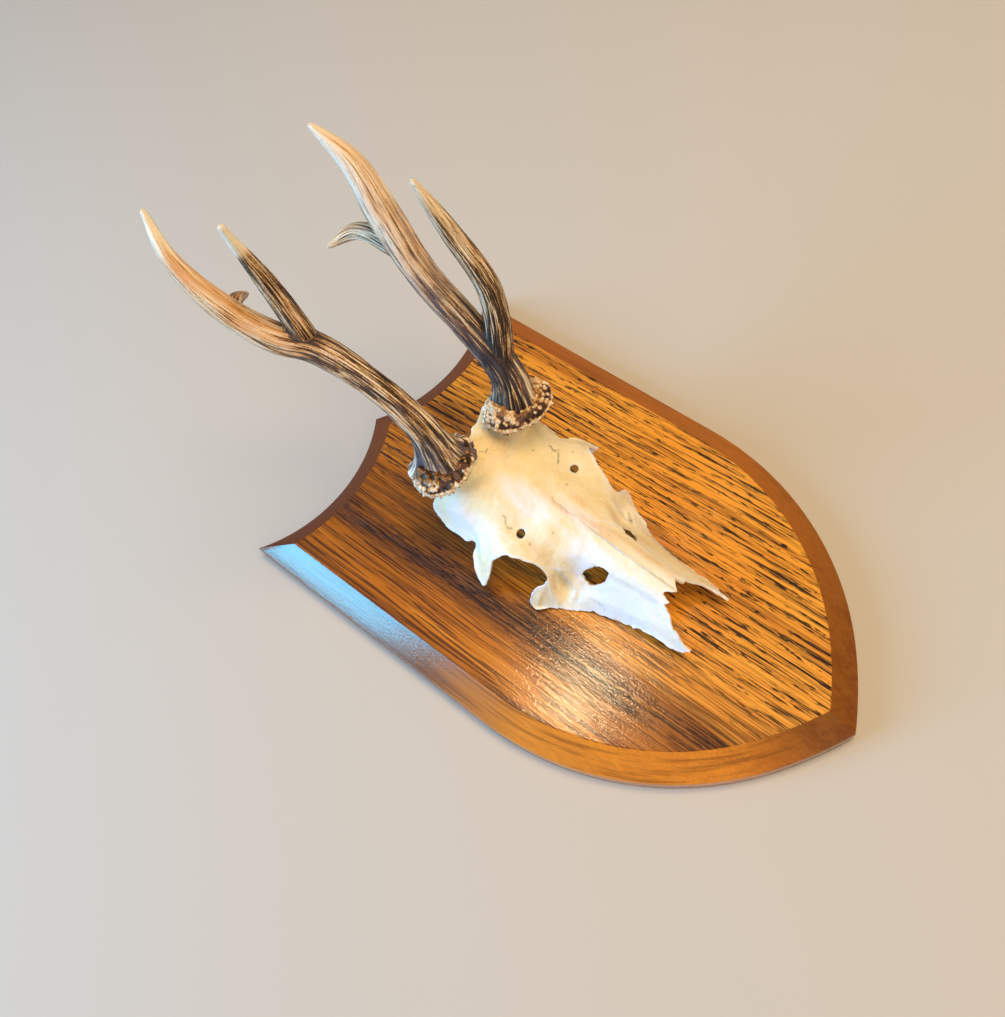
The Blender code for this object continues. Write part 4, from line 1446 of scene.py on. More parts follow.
@dataclass(frozen=True)
class SkullCap:
    """The five bones that show: fused frontals with their pedicles, nasals and cheeks."""

    feet: tuple[Foot, Foot]
    cell: float = 0.7              # spacing of the mesh over the bone
    thickness: float = 2.3
    rim_thickness: float = 1.2     # where the bone breaks off thin
    floor: float = 20.3
    pedicle_depth: float = 20.0
    foramen: tuple[float, float] = (21.7, -137.5)
    foramen_radius: float = 2.1

    def surface(self, plan: Array) -> Array:
        """Height of the smooth outer surface over plan points.

        Args:
            plan: plan points.

        Returns:
            One height for each point, in millimetres.
        """
        along, out = plan[:, 1], np.abs(plan[:, 0])
        stations = np.array([s.y for s in SECTIONS], float)
        table = np.array([(*s.shoulder, *s.wall, *s.edge, s.crown) for s in SECTIONS], float)
        at = [monotone(stations, column, along) for column in table.T]
        knots = np.stack([-at[0], 0 * at[0], at[0], at[2], at[4]], axis=1)
        values = np.stack([at[1], at[6], at[1], at[3], at[5]], axis=1)
        groove = 1.6 * np.exp(-(((out - 21.7) / 4.5) ** 2) - ((along + 139) / 12) ** 2)
        return monotone(knots, values, out) - groove

    def normal(self, plan: Array) -> Array:
        """Unit normals of the smooth outer surface.

        Args:
            plan: plan points.

        Returns:
            One unit vector for each point.
        """
        step = 0.5
        dx = (self.surface(plan + (step, 0)) - self.surface(plan - (step, 0))) / (2 * step)
        dy = (self.surface(plan + (0, step)) - self.surface(plan - (0, step))) / (2 * step)
        made = np.stack([-dx, -dy, np.ones(len(plan))], axis=1)
        return made / np.linalg.norm(made, axis=1)[:, None]

    @staticmethod
    def marks(plan: Array) -> tuple[Array, Array]:
        """Rise of all marks at each plan point, in millimetres, and how dark they make it.

        Args:
            plan: plan points.

        Returns:
            The rises, and numbers from 0 to 1 for the dark.
        """
        flat = [np.column_stack([plan / size, np.full(len(plan), level)])
                for size, level in ((1.6, 0), (1.6, 5.5), (0.6, 9), (0.6, 12.5))]
        wander = np.stack([0.6 * noise(flat[0], 40) + 0.2 * noise(flat[2], 41),
                           0.6 * noise(flat[1], 40) + 0.2 * noise(flat[3], 41)], axis=1)
        rise, dark = np.zeros(len(plan)), np.zeros(len(plan))
        for mark in (*PAIRED_MARKS, *(m.mirrored() for m in PAIRED_MARKS), *SINGLE_MARKS):
            line = mark.strength(plan + wander * min(1.0, 0.5 / mark.width))
            rise += mark.rise * line
            dark = np.maximum(dark, mark.dark * line)
        return rise, dark

    def relief(self, plan: Array) -> Array:
        """Small rises and dents of the outer surface, in millimetres.

        Args:
            plan: plan points.

        Returns:
            One rise for each point.
        """
        spots = np.column_stack([plan, np.zeros(len(plan))])
        made = 0.42 * layered(spots / 10.0, 3) + 0.16 * layered(spots / 2.6, 5)
        made += 0.10 * noise(spots / (0.8, 4.0, 1), 9) + 0.06 * noise(spots / 0.8, 10)
        flakes = np.clip(layered(spots / 4.2, 14) * 9 - 1.2, 0, 1)
        made += 0.12 * flakes
        made -= 1.9 * bell(plan, (-25.8, -163.2), 3.0, 3.2) + 1.5 * bell(plan, (25.6, -163.4), 2.8, 3.2)
        made -= 0.9 * bell(plan, (-22.9, -143.8), 0.55, 0.55)
        return made + self.marks(plan)[0]

    def stains(self, points: Array, loops: list[Array]) -> dict[str, Array]:
        """Yellowing, warm bands, dark cracks, and painted shade in small pits and in the right lacrimal pit
        of the bone.

        Args:
            points: places in millimetres.
            loops: plan outlines where the bone breaks off.

        Returns:
            Numbers from 0 to 1 for the material, by name.
        """
        plan = points[:, :2]
        stain = np.interp(points[:, 1], (-225, -190, -165, -150, -130, -100, -88),
                          (0.42, 0.34, 0.40, 0.50, 0.60, 0.72, 0.70)) + 0.2 * layered(points / 11.0, 21)
        # The spot at (-25.6, -163.4) deepens the yellow in the right lacrimal pit as painted shade of the
        # hollow.
        for centre, spread, change in (
            ((-8.5, -131.5), (5.0, 13), -1.0), ((2.2, -156), (2.8, 9), -0.9), ((-10.5, -170), (6, 10), -0.45),
            ((-33, -112), (7, 14), -0.65), ((-17, -197), (7, 22), -0.40), ((-25.6, -163.4), (3.2, 3.6), 0.55),
            ((-22, -150), (5, 6), 0.12), ((16, -150), (8, 20), 0.15), ((7, -185), (3, 22), 0.2),
            ((17, -186), (4, 26), 0.35), ((20, -104), (12, 9), 0.15), ((29, -97), (3, 4), -0.5),
        ):
            stain += change * bell(plan, centre, *spread)
        warm = sum(level * bell(plan, centre, *spread) for centre, spread, level in (
            ((-1.0, -146), (1.8, 9), 0.75), ((2.8, -167), (2.2, 9), 0.7), ((-22.5, -148), (4, 7), 0.65),
            ((8.5, -152), (3, 10), 0.4), ((4, -107), (10, 8), 0.3), ((-19, -170), (2, 2), 0.6),
            ((6.5, -190), (2.2, 14), 0.5), ((-28.5, -160), (2, 3), 0.35), ((11, -99), (5, 6), 0.35),
        ))
        warm *= 0.7 + 0.6 * layered(points / 4.0, 33)
        dark = self.marks(plan)[1]
        # Painted shade: dark dots in small pits and holes of the bone.
        for x, y, size in (
            (-22.9, -143.8, 0.5), (28.4, -131.2, 0.4), (13.8, -119.5, 0.4), (-12.5, -150.2, 0.35),
        ):
            dark = np.maximum(dark, 0.75 * bell(plan, (x, y), size, size))
        under = np.clip((self.surface(plan) - points[:, 2] - 1.4) / 1.0, 0, 1)
        rim = np.minimum.reduce([distance_to(plan, loop) for loop in loops])
        stain -= 0.35 * np.exp(-((rim / 0.9) ** 2))
        return {"stain": np.clip(stain, 0, 1) * (1 - 0.25 * under), "warm": warm * (1 - under),
                "crack": dark * (1 - under)}

    def ragged(self, chain: Array) -> Array:
        """Break an outline up, the same way wherever bones share it.

        Args:
            chain: plan places along the outline.

        Returns:
            The shifted places.
        """
        spots = np.column_stack([chain, np.zeros(len(chain))])
        shift = np.stack([0.28 * noise(spots / 1.4, seed) + 0.45 * noise(spots / 3.6, seed + 1)
                          for seed in (61, 63)], axis=1)
        return chain + shift * np.minimum(np.abs(chain[:, :1]) / 2, 1)

    def loop(self, side: int, *stretches: tuple) -> Array:
        """Chain stretches of outline into one ragged line.

        Args:
            side: 1 as laid out, or -1 mirrored.
            stretches: corners of each stretch, in order.

        Returns:
            Plan places without the last one.
        """
        chain = []
        for stretch in stretches:
            back = stretch[0] > stretch[-1]
            places = evenly(smooth_chain(np.array(stretch[::-1] if back else stretch, float), 8), 0.5)
            chain.append((places[::-1] if back else places)[:-1])
        return self.ragged(np.vstack(chain) * (side, 1))

    @staticmethod
    def drawn_in(loop: Array, distance: float) -> Array:
        """Draw a closed outline in by a distance, and return it anticlockwise.

        Args:
            loop: the outline.
            distance: in millimetres.

        Returns:
            The new outline.
        """
        after = np.roll(loop, -1, axis=0)
        if (loop[:, 0] * after[:, 1] - after[:, 0] * loop[:, 1]).sum() < 0:
            loop = loop[::-1]
        step = np.roll(loop, -1, axis=0) - np.roll(loop, 1, axis=0)
        step /= np.maximum(np.linalg.norm(step, axis=1), 1e-9)[:, None]
        return loop + np.stack([-step[:, 1], step[:, 0]], axis=1) * distance

    def shell(self, name: str, loop: Array, holes: tuple[Array, ...] = (), gap: float = 0.015) -> Piece:
        """Build a closed shell of bone over a plan outline.

        Args:
            name: of the object.
            loop: plan outline.
            holes: plan outlines of openings.
            gap: half of the width of a closed suture, or less than 0 to tuck under its neighbours.

        Returns:
            The object, detailed but not yet dressed.
        """
        loops = [self.drawn_in(loop, gap), *holes]
        low, high = loops[0].min(axis=0), loops[0].max(axis=0)
        rows = []
        for k, y in enumerate(np.arange(low[1], high[1], self.cell * math.sqrt(3) / 2)):
            x = np.arange(low[0] + (k % 2) * self.cell / 2, high[0], self.cell)
            rows.append(np.column_stack([x, np.full(len(x), y)]))
        grid = np.vstack(rows)
        keep = inside(grid, loops[0]) & (distance_to(grid, loops[0]) > self.cell * 0.5)
        for hole in holes:
            keep &= ~inside(grid, hole) & (distance_to(grid, hole) > self.cell * 0.5)
        points = np.vstack([*loops, grid[keep]])
        edges, first = [], 0
        for ring in loops:
            edges += [(first + k, first + (k + 1) % len(ring)) for k in range(len(ring))]
            first += len(ring)
        verts, _, faces, *_ = delaunay_2d_cdt([Vector(p) for p in points], edges, [], 0, 1e-5)
        plan = np.array(verts)
        faces = np.array([f for f in faces if len(f) == 3])
        middles = plan[faces].mean(axis=1)
        keep = inside(middles, loops[0])
        for hole in holes:
            keep &= ~inside(middles, hole)
        used, faces = np.unique(faces[keep], return_inverse=True)
        faces = faces.reshape(-1, 3)
        plan = plan[used]
        rim = np.minimum.reduce([distance_to(plan, ring) for ring in loops])
        normal = self.normal(plan)
        top = np.column_stack([plan, self.surface(plan)])
        top[:, 2] = np.maximum(top[:, 2], self.floor + 0.8)
        top += normal * self.relief(plan)[:, None]
        under = top - normal * np.minimum(self.thickness, self.rim_thickness + 0.5 * rim)[:, None]
        under[:, 2] = np.maximum(under[:, 2], self.floor)
        top[:, 2] = np.maximum(top[:, 2], self.floor + 0.6)
        count = len(plan)
        pairs = {tuple(p) for p in np.vstack([faces[:, (0, 1)], faces[:, (1, 2)], faces[:, (2, 0)]]).tolist()}
        made = [*faces.tolist(), *(faces[:, ::-1] + count).tolist()]
        made += [(b, a, a + count, b + count) for a, b in pairs if (b, a) not in pairs]
        obj = mesh_object(name, np.vstack([top, under]), made)
        face_out(obj)
        obj.data.set_sharp_from_angle(angle=math.radians(55))
        return obj

    def pedicle(self, foot: Foot) -> Piece:
        """Bony stalk that spreads from a coronet forward into the forehead.

        Args:
            foot: where its coronet sits.

        Returns:
            The stalk, for the forehead to be fused with.
        """
        sides, levels = 64, 28
        axes = foot.frame()
        outwards = spokes(turned(sides))
        facing = np.column_stack([outwards, np.zeros(sides)]) @ axes
        front = np.clip(-1.1 * facing[:, 1] - 0.35 * foot.side.value * facing[:, 0], 0, 1)
        outer = np.clip(foot.side.value * facing[:, 0], 0, 1)
        back = np.clip(1.3 * facing[:, 1], 0, 1)
        rings = []
        for t in np.linspace(0, 1, levels):
            radius = (13.4 + t * 0.4 + front * 4.0 * t**2) * (1 - np.maximum(outer, back) * (0.16 + 0.26 * t))
            clear = 26 * (1 - t)**1.6 - 1.5 * t
            scale = np.ones(sides)
            for _ in range(40):
                flat = np.column_stack([outwards * (radius * scale)[:, None],
                                        np.full(sides, -0.2 - t * self.pedicle_depth)])
                ring = np.array(foot.base) + flat @ axes
                high = ring[:, 2] - self.surface(ring[:, :2]) > clear
                scale = np.where(high & (scale > 0.3), scale * 0.975, scale)
            rings.append(ring)
        return mesh_object("pedicle", np.vstack(rings), tube_faces(levels, sides))

    def build(self) -> None:
        """Build and dress the five bones."""
        round_back = (BACK_EDGE, TEMPORAL_EDGE, POSTORBITAL_SPIKE, ORBIT_RIM, LACRIMAL_SUTURE[::-1],
                      GAP_UPPER, FRONTAL_SUTURE)
        outline = np.vstack([self.loop(1, *round_back), [FRONTAL_SUTURE[-1]],
                             self.loop(-1, *round_back)[:0:-1]])
        ring = spokes(turned(24)) * self.foramen_radius
        holes = tuple(ring * (1.0, 0.92) + np.array(self.foramen) * (side, 1) for side in (-1, 1))
        parts = [self.shell("frontal_shell", outline, holes, -0.4)]
        parts += [self.pedicle(foot) for foot in self.feet]
        for place, size in (
            ((45.0, -128.2, 32.6), 2.3), ((45.6, -126.0, 33.8), 1.5), ((-46.8, -129.6, 31.4), 0.9),
        ):
            parts.append(knob("knob", np.array(place), np.diag([size, size * 1.15, size * 0.9])))
        frontal = fused("frontal_bones", parts, 0.5)
        self.finish_frontal(frontal, [outline, *holes])
        show(frontal, BONE, Slot.BONE, "skull_frontal")
        for side in Side:
            sign = side.value
            nasal = np.vstack([self.loop(sign, FRONTAL_SUTURE[::-1], GAP_FRONT, NASAL_SUTURE[::-1],
                                         NASAL_TIPS[::-1]), [NASAL_TIPS[0]]])
            rim = CHEEK_RIMS[side]
            cheek = self.loop(sign, rim, (rim[-1], *CHEEK_EDGE), NOSE_RIM, NASAL_SUTURE, GAP_LOWER,
                              LACRIMAL_SUTURE)
            free = [self.loop(sign, rim, (rim[-1], *CHEEK_EDGE), NOSE_RIM)]
            for word, plan in (("nasal", nasal), ("cheek", cheek)):
                bone = self.shell(f"{word}_bone_{side.word}", plan)
                carry(bone, **self.stains(places_of(bone), free))
                show(bone, BONE, Slot.BONE, f"skull_{word}_{side.word}")

    def finish_frontal(self, obj: Piece, loops: list[Array]) -> None:
        """Blend the pedicles into the forehead and stain the bone.

        Args:
            obj: the frontal bones.
            loops: plan outlines where they break off.
        """
        points = places_of(obj)
        weight = np.full(len(points), 0.03)
        for foot in self.feet:
            local = (points - np.array(foot.base)) @ foot.frame().T
            out = np.hypot(local[:, 0], local[:, 1])
            near = np.clip((25 - out) / 6, 0, 1) * np.clip((-local[:, 2] - 1.5) / 3.0, 0, 1)
            weight = np.maximum(weight, near * (local[:, 2] > -24))
        points = relaxed(obj, points, weight, 180)
        move_to(obj, points)
        close = np.zeros(len(points))
        for foot in self.feet:
            local = (points - np.array(foot.base)) @ foot.frame().T
            out = np.hypot(local[:, 0], local[:, 1])
            close = np.maximum(close, np.clip((26 - out) / 8, 0, 1) * np.exp(-((local[:, 2] + 3) / 9.0) ** 2))
        grooves = noise(points / (1.6, 1.6, 5.0), 71) * 0.30 + 0.25 * layered(points / 3.0, 75)
        points = points + normals_of(obj) * (close * grooves)[:, None]
        move_to(obj, points)
        stains = self.stains(points, loops)
        stains["stain"] = stains["stain"] + 0.12 * close
        carry(obj, **stains)


# --- antlers ---


@dataclass(frozen=True)
class Branch:
    """Beam or tine: stations (x, y, z, half-width, half-depth) and its stain from root to tip."""

    stations: tuple[tuple[float, float, float, float, float], ...]
    dark: tuple[tuple[float, float], ...]      # share of the length, and how dark it is there
    warm: tuple[tuple[float, float], ...] = ((0, 0.1), (1, 0.1))
    bare: tuple[tuple[float, float], ...] = ((0, 0), (1, 1))
    patches: tuple[tuple[float, float, float, float, float], ...] = ()   # start, end, turn, spread, change
    pearly: float = 0.0                        # how far pearls climb up it, in millimetres
    flare: float = 0.0                         # widening at the root, in millimetres

    def samples(self, spacing: float) -> dict[str, Array]:
        """Centres, frames and half-widths at even spacing.

        Args:
            spacing: in millimetres.

        Returns:
            Arrays by name: centre, ahead, across, over, wide, deep, along.
        """
        stations = np.array(self.stations, float)
        steps = 24
        path = smooth_chain(stations[:, :3], steps)
        lengths = np.concatenate([[0], np.cumsum(np.linalg.norm(np.diff(path, axis=0), axis=1))])
        along = np.linspace(0, lengths[-1], max(4, round(lengths[-1] / spacing)) + 1)
        centre = np.stack([np.interp(along, lengths, path[:, k]) for k in range(3)], axis=1)
        ahead = np.gradient(centre, axis=0)
        ahead /= np.linalg.norm(ahead, axis=1)[:, None]
        across = np.zeros_like(ahead)
        last = np.array([1.0, 0.0, 0.0])
        for k, direction in enumerate(ahead):
            last = last - direction * (last @ direction)
            last /= np.linalg.norm(last)
            across[k] = last
        knots = lengths[::steps]
        grown = self.flare * np.exp(-along / 5.0)
        return {
            "centre": centre, "ahead": ahead, "across": across, "over": np.cross(ahead, across),
            "wide": monotone(knots, stations[:, 3], along) + grown,
            "deep": monotone(knots, stations[:, 4], along) + grown, "along": along,
        }

    def tube(self) -> Piece:
        """Closed tube along the branch, rounded off at its tip.

        Returns:
            The tube, for the antler to be fused from.
        """
        sides = 28
        s = self.samples(1.0)
        last = s["along"][-1]
        tip = np.sqrt(np.clip(1 - ((s["along"] - last + 2.0).clip(0) / 2.0) ** 2, 0.02, 1))
        angles = turned(sides)
        rib = 1 + 0.04 * np.cos(3 * angles)
        rings = (s["centre"][:, None]
                 + s["across"][:, None] * (s["wide"] * tip)[:, None, None] * (rib * np.cos(angles))[:, None]
                 + s["over"][:, None] * (s["deep"] * tip)[:, None, None] * (rib * np.sin(angles))[:, None])
        return mesh_object("branch", rings.reshape(-1, 3), tube_faces(len(rings), sides))


@dataclass(frozen=True)
class Antler:
    """One antler above its coronet, and the coronet itself."""

    foot: Foot
    beam: Branch
    tines: tuple[Branch, ...]
    seed: int
    # The ash table also lays painted sheen of the cool window light along the beam.
    ash_and_window_sheen: tuple[tuple[float, float], ...]    # how ashy the beam is, by millimetres from its foot
    coronet_radii: tuple[float, ...]        # of the rim at even angles from +x round towards +y
    skirt: tuple[tuple[float, float], ...]  # angle of each pearly skirt and its rise in millimetres
    skirt_tone: float                       # 0 for dark brown, 1 for tan
    cell: float = 0.42                      # size of the skin's faces
    pearl_cell: float = 0.36
    upper_pearls: int = 46
    skirt_pearls: int = 55                  # on each skirt

    def nearest(self, points: Array, branch: Branch) -> dict[str, Array]:
        """Where places lie along and round a branch.

        Args:
            points: places in millimetres.
            branch: the beam or a tine.

        Returns:
            Arrays by name: along, share, ratio (distance over radius), cos, sin and radius.
        """
        s = branch.samples(0.6)
        index = np.zeros(len(points), int)
        for start in range(0, len(points), 4000):
            part = points[start:start + 4000]
            away = ((part[:, None] - s["centre"][None]) ** 2).sum(axis=2)
            index[start:start + 4000] = away.argmin(axis=1)
        offset = points - s["centre"][index]
        ahead = (offset * s["ahead"][index]).sum(axis=1)
        x = (offset * s["across"][index]).sum(axis=1)
        y = (offset * s["over"][index]).sum(axis=1)
        out = np.maximum(np.hypot(x, y), 1e-6)
        radius = (s["wide"][index] + s["deep"][index]) / 2
        along = s["along"][index] + ahead
        return {"along": along, "share": np.clip(along / s["along"][-1], 0, 1),
                "ratio": np.hypot(out, ahead) / radius, "cos": x / out, "sin": y / out, "radius": radius}

    def build(self) -> None:
        """Build and dress the antler and its coronet."""
        branches = (self.beam, *self.tines)
        word = self.foot.side.word
        obj = fused(f"antler_{word}", [b.tube() for b in branches], self.cell)
        points = places_of(obj)
        spots = [self.nearest(points, b) for b in branches]
        ratios = np.stack([s["ratio"] for s in spots])
        closest = np.sort(ratios, axis=0)
        fork = np.exp(-(((closest[1] - closest[0]) / 0.5) ** 2)) * (closest[1] < 2.4)
        points = relaxed(obj, points, np.clip(0.15 + 0.85 * fork, 0, 1), 22)
        shares = np.exp(-7 * (ratios - closest[0]))
        shares /= shares.sum(axis=0)
        total = {name: np.zeros(len(points)) for name in ("furrow", "dark", "warm", "lift", "bare")}
        grain = np.zeros((len(points), 3))
        for number, (branch, s, share) in enumerate(zip(branches, spots, shares)):
            made = self.bark(branch, s, self.seed + 20 * number)
            for name in total:
                total[name] += share * made[name]
            mine = share == shares.max(axis=0)
            grain[mine] = made["place"][mine][:, (0, 2, 1)]
        move_to(obj, points)
        points = points + normals_of(obj) * total.pop("lift")[:, None]
        move_to(obj, points)
        # Grey of ash and of painted cool window sheen, by distance along the beam.
        grey = np.interp(spots[0]["along"], *zip(*self.ash_and_window_sheen)) * shares[0]
        grey *= np.clip(0.8 + 0.7 * noise(points / 5.0, self.seed), 0, 1.2)
        total["dark"] += 0.35 * fork * np.clip(1.2 - total["bare"] * 2, 0, 1)
        carry(obj, grey=grey, **total)
        carry_places(obj, "grain", grain)
        show(obj, ANTLER, Slot.ANTLER, *(
            f"antler_{word}_{part}" for part in ("lower_beam", "upper_beam", "front_tine", "rear_tine")
        ))
        self.build_coronet()

    def bark(self, branch: Branch, s: dict[str, Array], seed: int) -> dict[str, Array]:
        """Furrows, ridges, pearls and stain on a branch.

        Args:
            branch: the beam or a tine.
            s: where the places lie on it.
            seed: picks the pattern.

        Returns:
            Arrays by name: furrow, dark, warm, bare, place, and lift in millimetres.
        """
        drum = 7.5      # millimetres; radius of the drum that the pattern is laid out on
        place = np.stack([s["cos"] * drum, s["sin"] * drum, s["along"] + 100 * seed], axis=1)
        sway = np.stack([noise(place / (6, 6, 14), seed + 1), noise(place / (6, 6, 14), seed + 2),
                         np.zeros(len(place))], axis=1)
        wander = place + 1.0 * sway
        lines = noise(wander / (2.3, 2.3, 34.0), seed + 3) + 0.5 * noise(wander / (1.1, 1.1, 15.0), seed + 4)
        bare = np.interp(s["share"], *zip(*branch.bare))
        patchy = np.clip(0.65 + 0.9 * noise(place / (4, 4, 22), seed + 6), 0, 1)
        furrow = np.exp(-((lines / 0.13) ** 2)) * (1 - bare) * patchy
        broad = noise(place / (5.0, 5.0, 38.0), seed + 5)
        ridge = np.clip(lines * 1.5, -1, 1)
        strength = np.interp(s["share"], (0, 0.3, 0.7, 1.0), (0.60, 0.50, 0.32, 0.06)) * s["radius"] / 7.0
        lift = strength * (0.5 * ridge + 1.15 * broad - 0.9 * furrow)
        lift += 0.05 * noise(place / (0.8, 0.8, 1.6), seed + 8)
        lift -= 0.25 * bare * np.clip(noise(place / (3, 3, 9), seed + 13), 0, 1)
        away, own = dots(place / 2.4, seed + 9)
        pearl = np.clip(1 - (away / 0.45) ** 2, 0, 1) * (own > 0.4)
        pearl *= np.clip(1 - s["along"] / max(branch.pearly, 1e-6), 0, 1) ** 0.5
        pearl *= np.clip(0.4 + 1.4 * (s["cos"] * -self.foot.side.value * 0.6 + s["sin"] * 0.8), 0, 1)
        dark = np.interp(s["share"], *zip(*branch.dark))
        for start, end, turn, spread, change in branch.patches:
            angle = np.arctan2(s["sin"], s["cos"]) - turn
            angle = np.abs(np.mod(angle + math.pi, 2 * math.pi) - math.pi)
            within = np.clip((s["along"] - start) / 4, 0, 1) * np.clip((end - s["along"]) / 4, 0, 1)
            dark = dark + change * np.exp(-((angle / spread) ** 2)) * within
        dark = dark - 0.14 * np.clip(ridge, 0, 1) - 0.35 * pearl
        warm = np.interp(s["share"], *zip(*branch.warm))
        warm *= np.clip(0.7 + 0.8 * noise(place / (3, 3, 14), seed + 12), 0, 1)
        return {"furrow": 0.95 * furrow * np.clip(0.25 + 1.1 * dark, 0, 1), "dark": dark, "warm": warm,
                "bare": bare, "lift": lift + 0.8 * pearl, "place": place}

    def build_coronet(self) -> None:
        """Build the ring of pearls at the foot of the beam."""
        rng = np.random.default_rng(self.seed)
        axes = self.foot.frame()
        base = np.array(self.foot.base)
        turns = np.linspace(0, 2 * math.pi, len(self.coronet_radii) + 1)
        radii = np.array([*self.coronet_radii, self.coronet_radii[0]])

        def rim(angle: Array) -> Array:
            """Radius of the coronet at angles round it."""
            return np.interp(np.mod(angle, 2 * math.pi), turns, radii)

        def skirt(angle: Array) -> Array:
            """How far the pearly skirts rise up the beam.

            Args:
                angle: angles round the coronet.

            Returns:
                The rise at each, in millimetres.
            """
            rise = np.zeros(np.shape(angle))
            for toward, height in self.skirt:
                off = np.abs(np.mod(angle - toward + math.pi, 2 * math.pi) - math.pi)
                rise = np.maximum(rise, height * np.exp(-((off / 0.75) ** 2)))
            return rise

        sides = 96
        angles = turned(sides)
        levels = ((-0.5, 0.76), (0.3, 0.88), (1.5, 0.92), (2.6, 0.91), (3.6, 0.83), (4.8, 0.68), (6.0, 0.52))
        outwards = spokes(angles)
        rings = [
            np.column_stack([outwards * (rim(angles) * spread)[:, None],
                             z + skirt(angles) * np.clip((z - 3.0) / 3.6, 0, 1)])
            for z, spread in levels
        ]
        parts = [mesh_object("core", base + np.vstack(rings) @ axes, tube_faces(len(rings), sides))]
        centres, sizes = [], []

        def pearl(angle: float, out: float, height: float, size: Array, lean: float) -> None:
            """Add a pearl to the coronet.

            Args:
                angle: where it is round the coronet.
                out: distance from the axis.
                height: above the coronet's underside.
                size: its half-axes sideways, inward and upward.
                lean: how far its upward axis leans outward, in radians.
            """
            outward = np.array([math.cos(angle), math.sin(angle), 0.0])
            sideways = np.array([-math.sin(angle), math.cos(angle), 0.0])
            up = np.array([0.0, 0.0, 1.0]) * math.cos(lean) + outward * math.sin(lean)
            half_axes = np.stack([sideways * size[0], np.cross(sideways, up) * size[1], up * size[2]])
            centre = outward * out + np.array([0, 0, height])
            parts.append(knob("pearl", base + centre @ axes, half_axes @ axes))
            centres.append(base + centre @ axes)
            sizes.append(float(size.mean()))

        angle = 0.0
        while angle < 2 * math.pi - 0.08:
            size = rng.uniform((0.6, 0.8, 1.7), (1.3, 1.3, 3.0))
            angle += size[0] * 1.08 / rim(angle)
            pearl(angle, rim(angle) - 1.5 + rng.uniform(-0.9, 0.6), 0.9 + rng.uniform(-0.7, 0.9), size,
                  rng.uniform(-0.9, 0.1))
            angle += size[0] * 1.08 / rim(angle)
        for _ in range(self.upper_pearls):
            angle = rng.uniform(0, 2 * math.pi)
            inward = rng.uniform(0, 1)
            pearl(angle, rim(angle) * (0.90 - 0.32 * inward), 3.4 + 2.4 * inward + skirt(angle) * inward,
                  rng.uniform(0.45, 1.1, 3), 0.0)
        for toward, rise in self.skirt:
            for _ in range(self.skirt_pearls):
                angle = toward + rng.normal(0, 0.5)
                inward = rng.uniform(0, 1)
                pearl(angle, rim(angle) * (0.92 - 0.36 * inward), 3.0 + (2.6 + skirt(angle)) * inward,
                      rng.uniform(0.7, 1.5, 3), 0.0)
        obj = fused(f"coronet_{self.foot.side.word}_pearls", parts, self.pearl_cell)
        points = relaxed(obj, places_of(obj), np.full(len(obj.data.vertices), 0.5), 1)
        points = points + normals_of(obj) * (0.36 * layered(points / 1.5, self.seed))[:, None]
        move_to(obj, points)
        local = (points - base) @ axes.T
        out = np.hypot(local[:, 0], local[:, 1])
        bearing = np.arctan2(local[:, 1], local[:, 0])
        lifted = skirt(bearing)
        z = np.where(local[:, 2] > 3.0, 3.0 + (local[:, 2] - 3.0) * 3.6 / (3.6 + lifted), local[:, 2])
        bare = np.interp(z, *zip(*levels))
        proud = out - rim(bearing) * bare
        close, own = np.full(len(points), 9.0), np.zeros(len(points))
        for number, (centre, size) in enumerate(zip(centres, sizes)):
            away = np.linalg.norm(points - centre, axis=1) / size
            nearer = away < close
            close[nearer] = away[nearer]
            own[nearer] = (number * GOLDEN) % 1.0
        high = np.clip((z - 3.2) / 2.0, 0, 1)
        crest = np.clip(proud / 1.2, 0, 1) * np.clip(1.5 - close, 0, 1) / 0.5
        tone = 0.20 + 0.78 * np.clip(crest, 0, 1) + 0.50 * (own - 0.35) * np.clip(crest, 0, 1)
        tone = tone * (1 - high) + high * (0.24 + 0.44 * self.skirt_tone + 0.24 * np.clip(crest, 0, 1)
                                           * (0.6 + 0.8 * self.skirt_tone))
        carry(obj, height=tone, hue=np.clip(own * 2.2 - 1.4, 0, 1) * (1 - high))
        show(obj, PEARLS, Slot.CORONET, f"coronet_{self.foot.side.word}")


RIGHT_FOOT = Foot(Side.RIGHT, (-21.5, -96.26, 85.53))
LEFT_FOOT = Foot(Side.LEFT, (23.0, -105.76, 85.03))

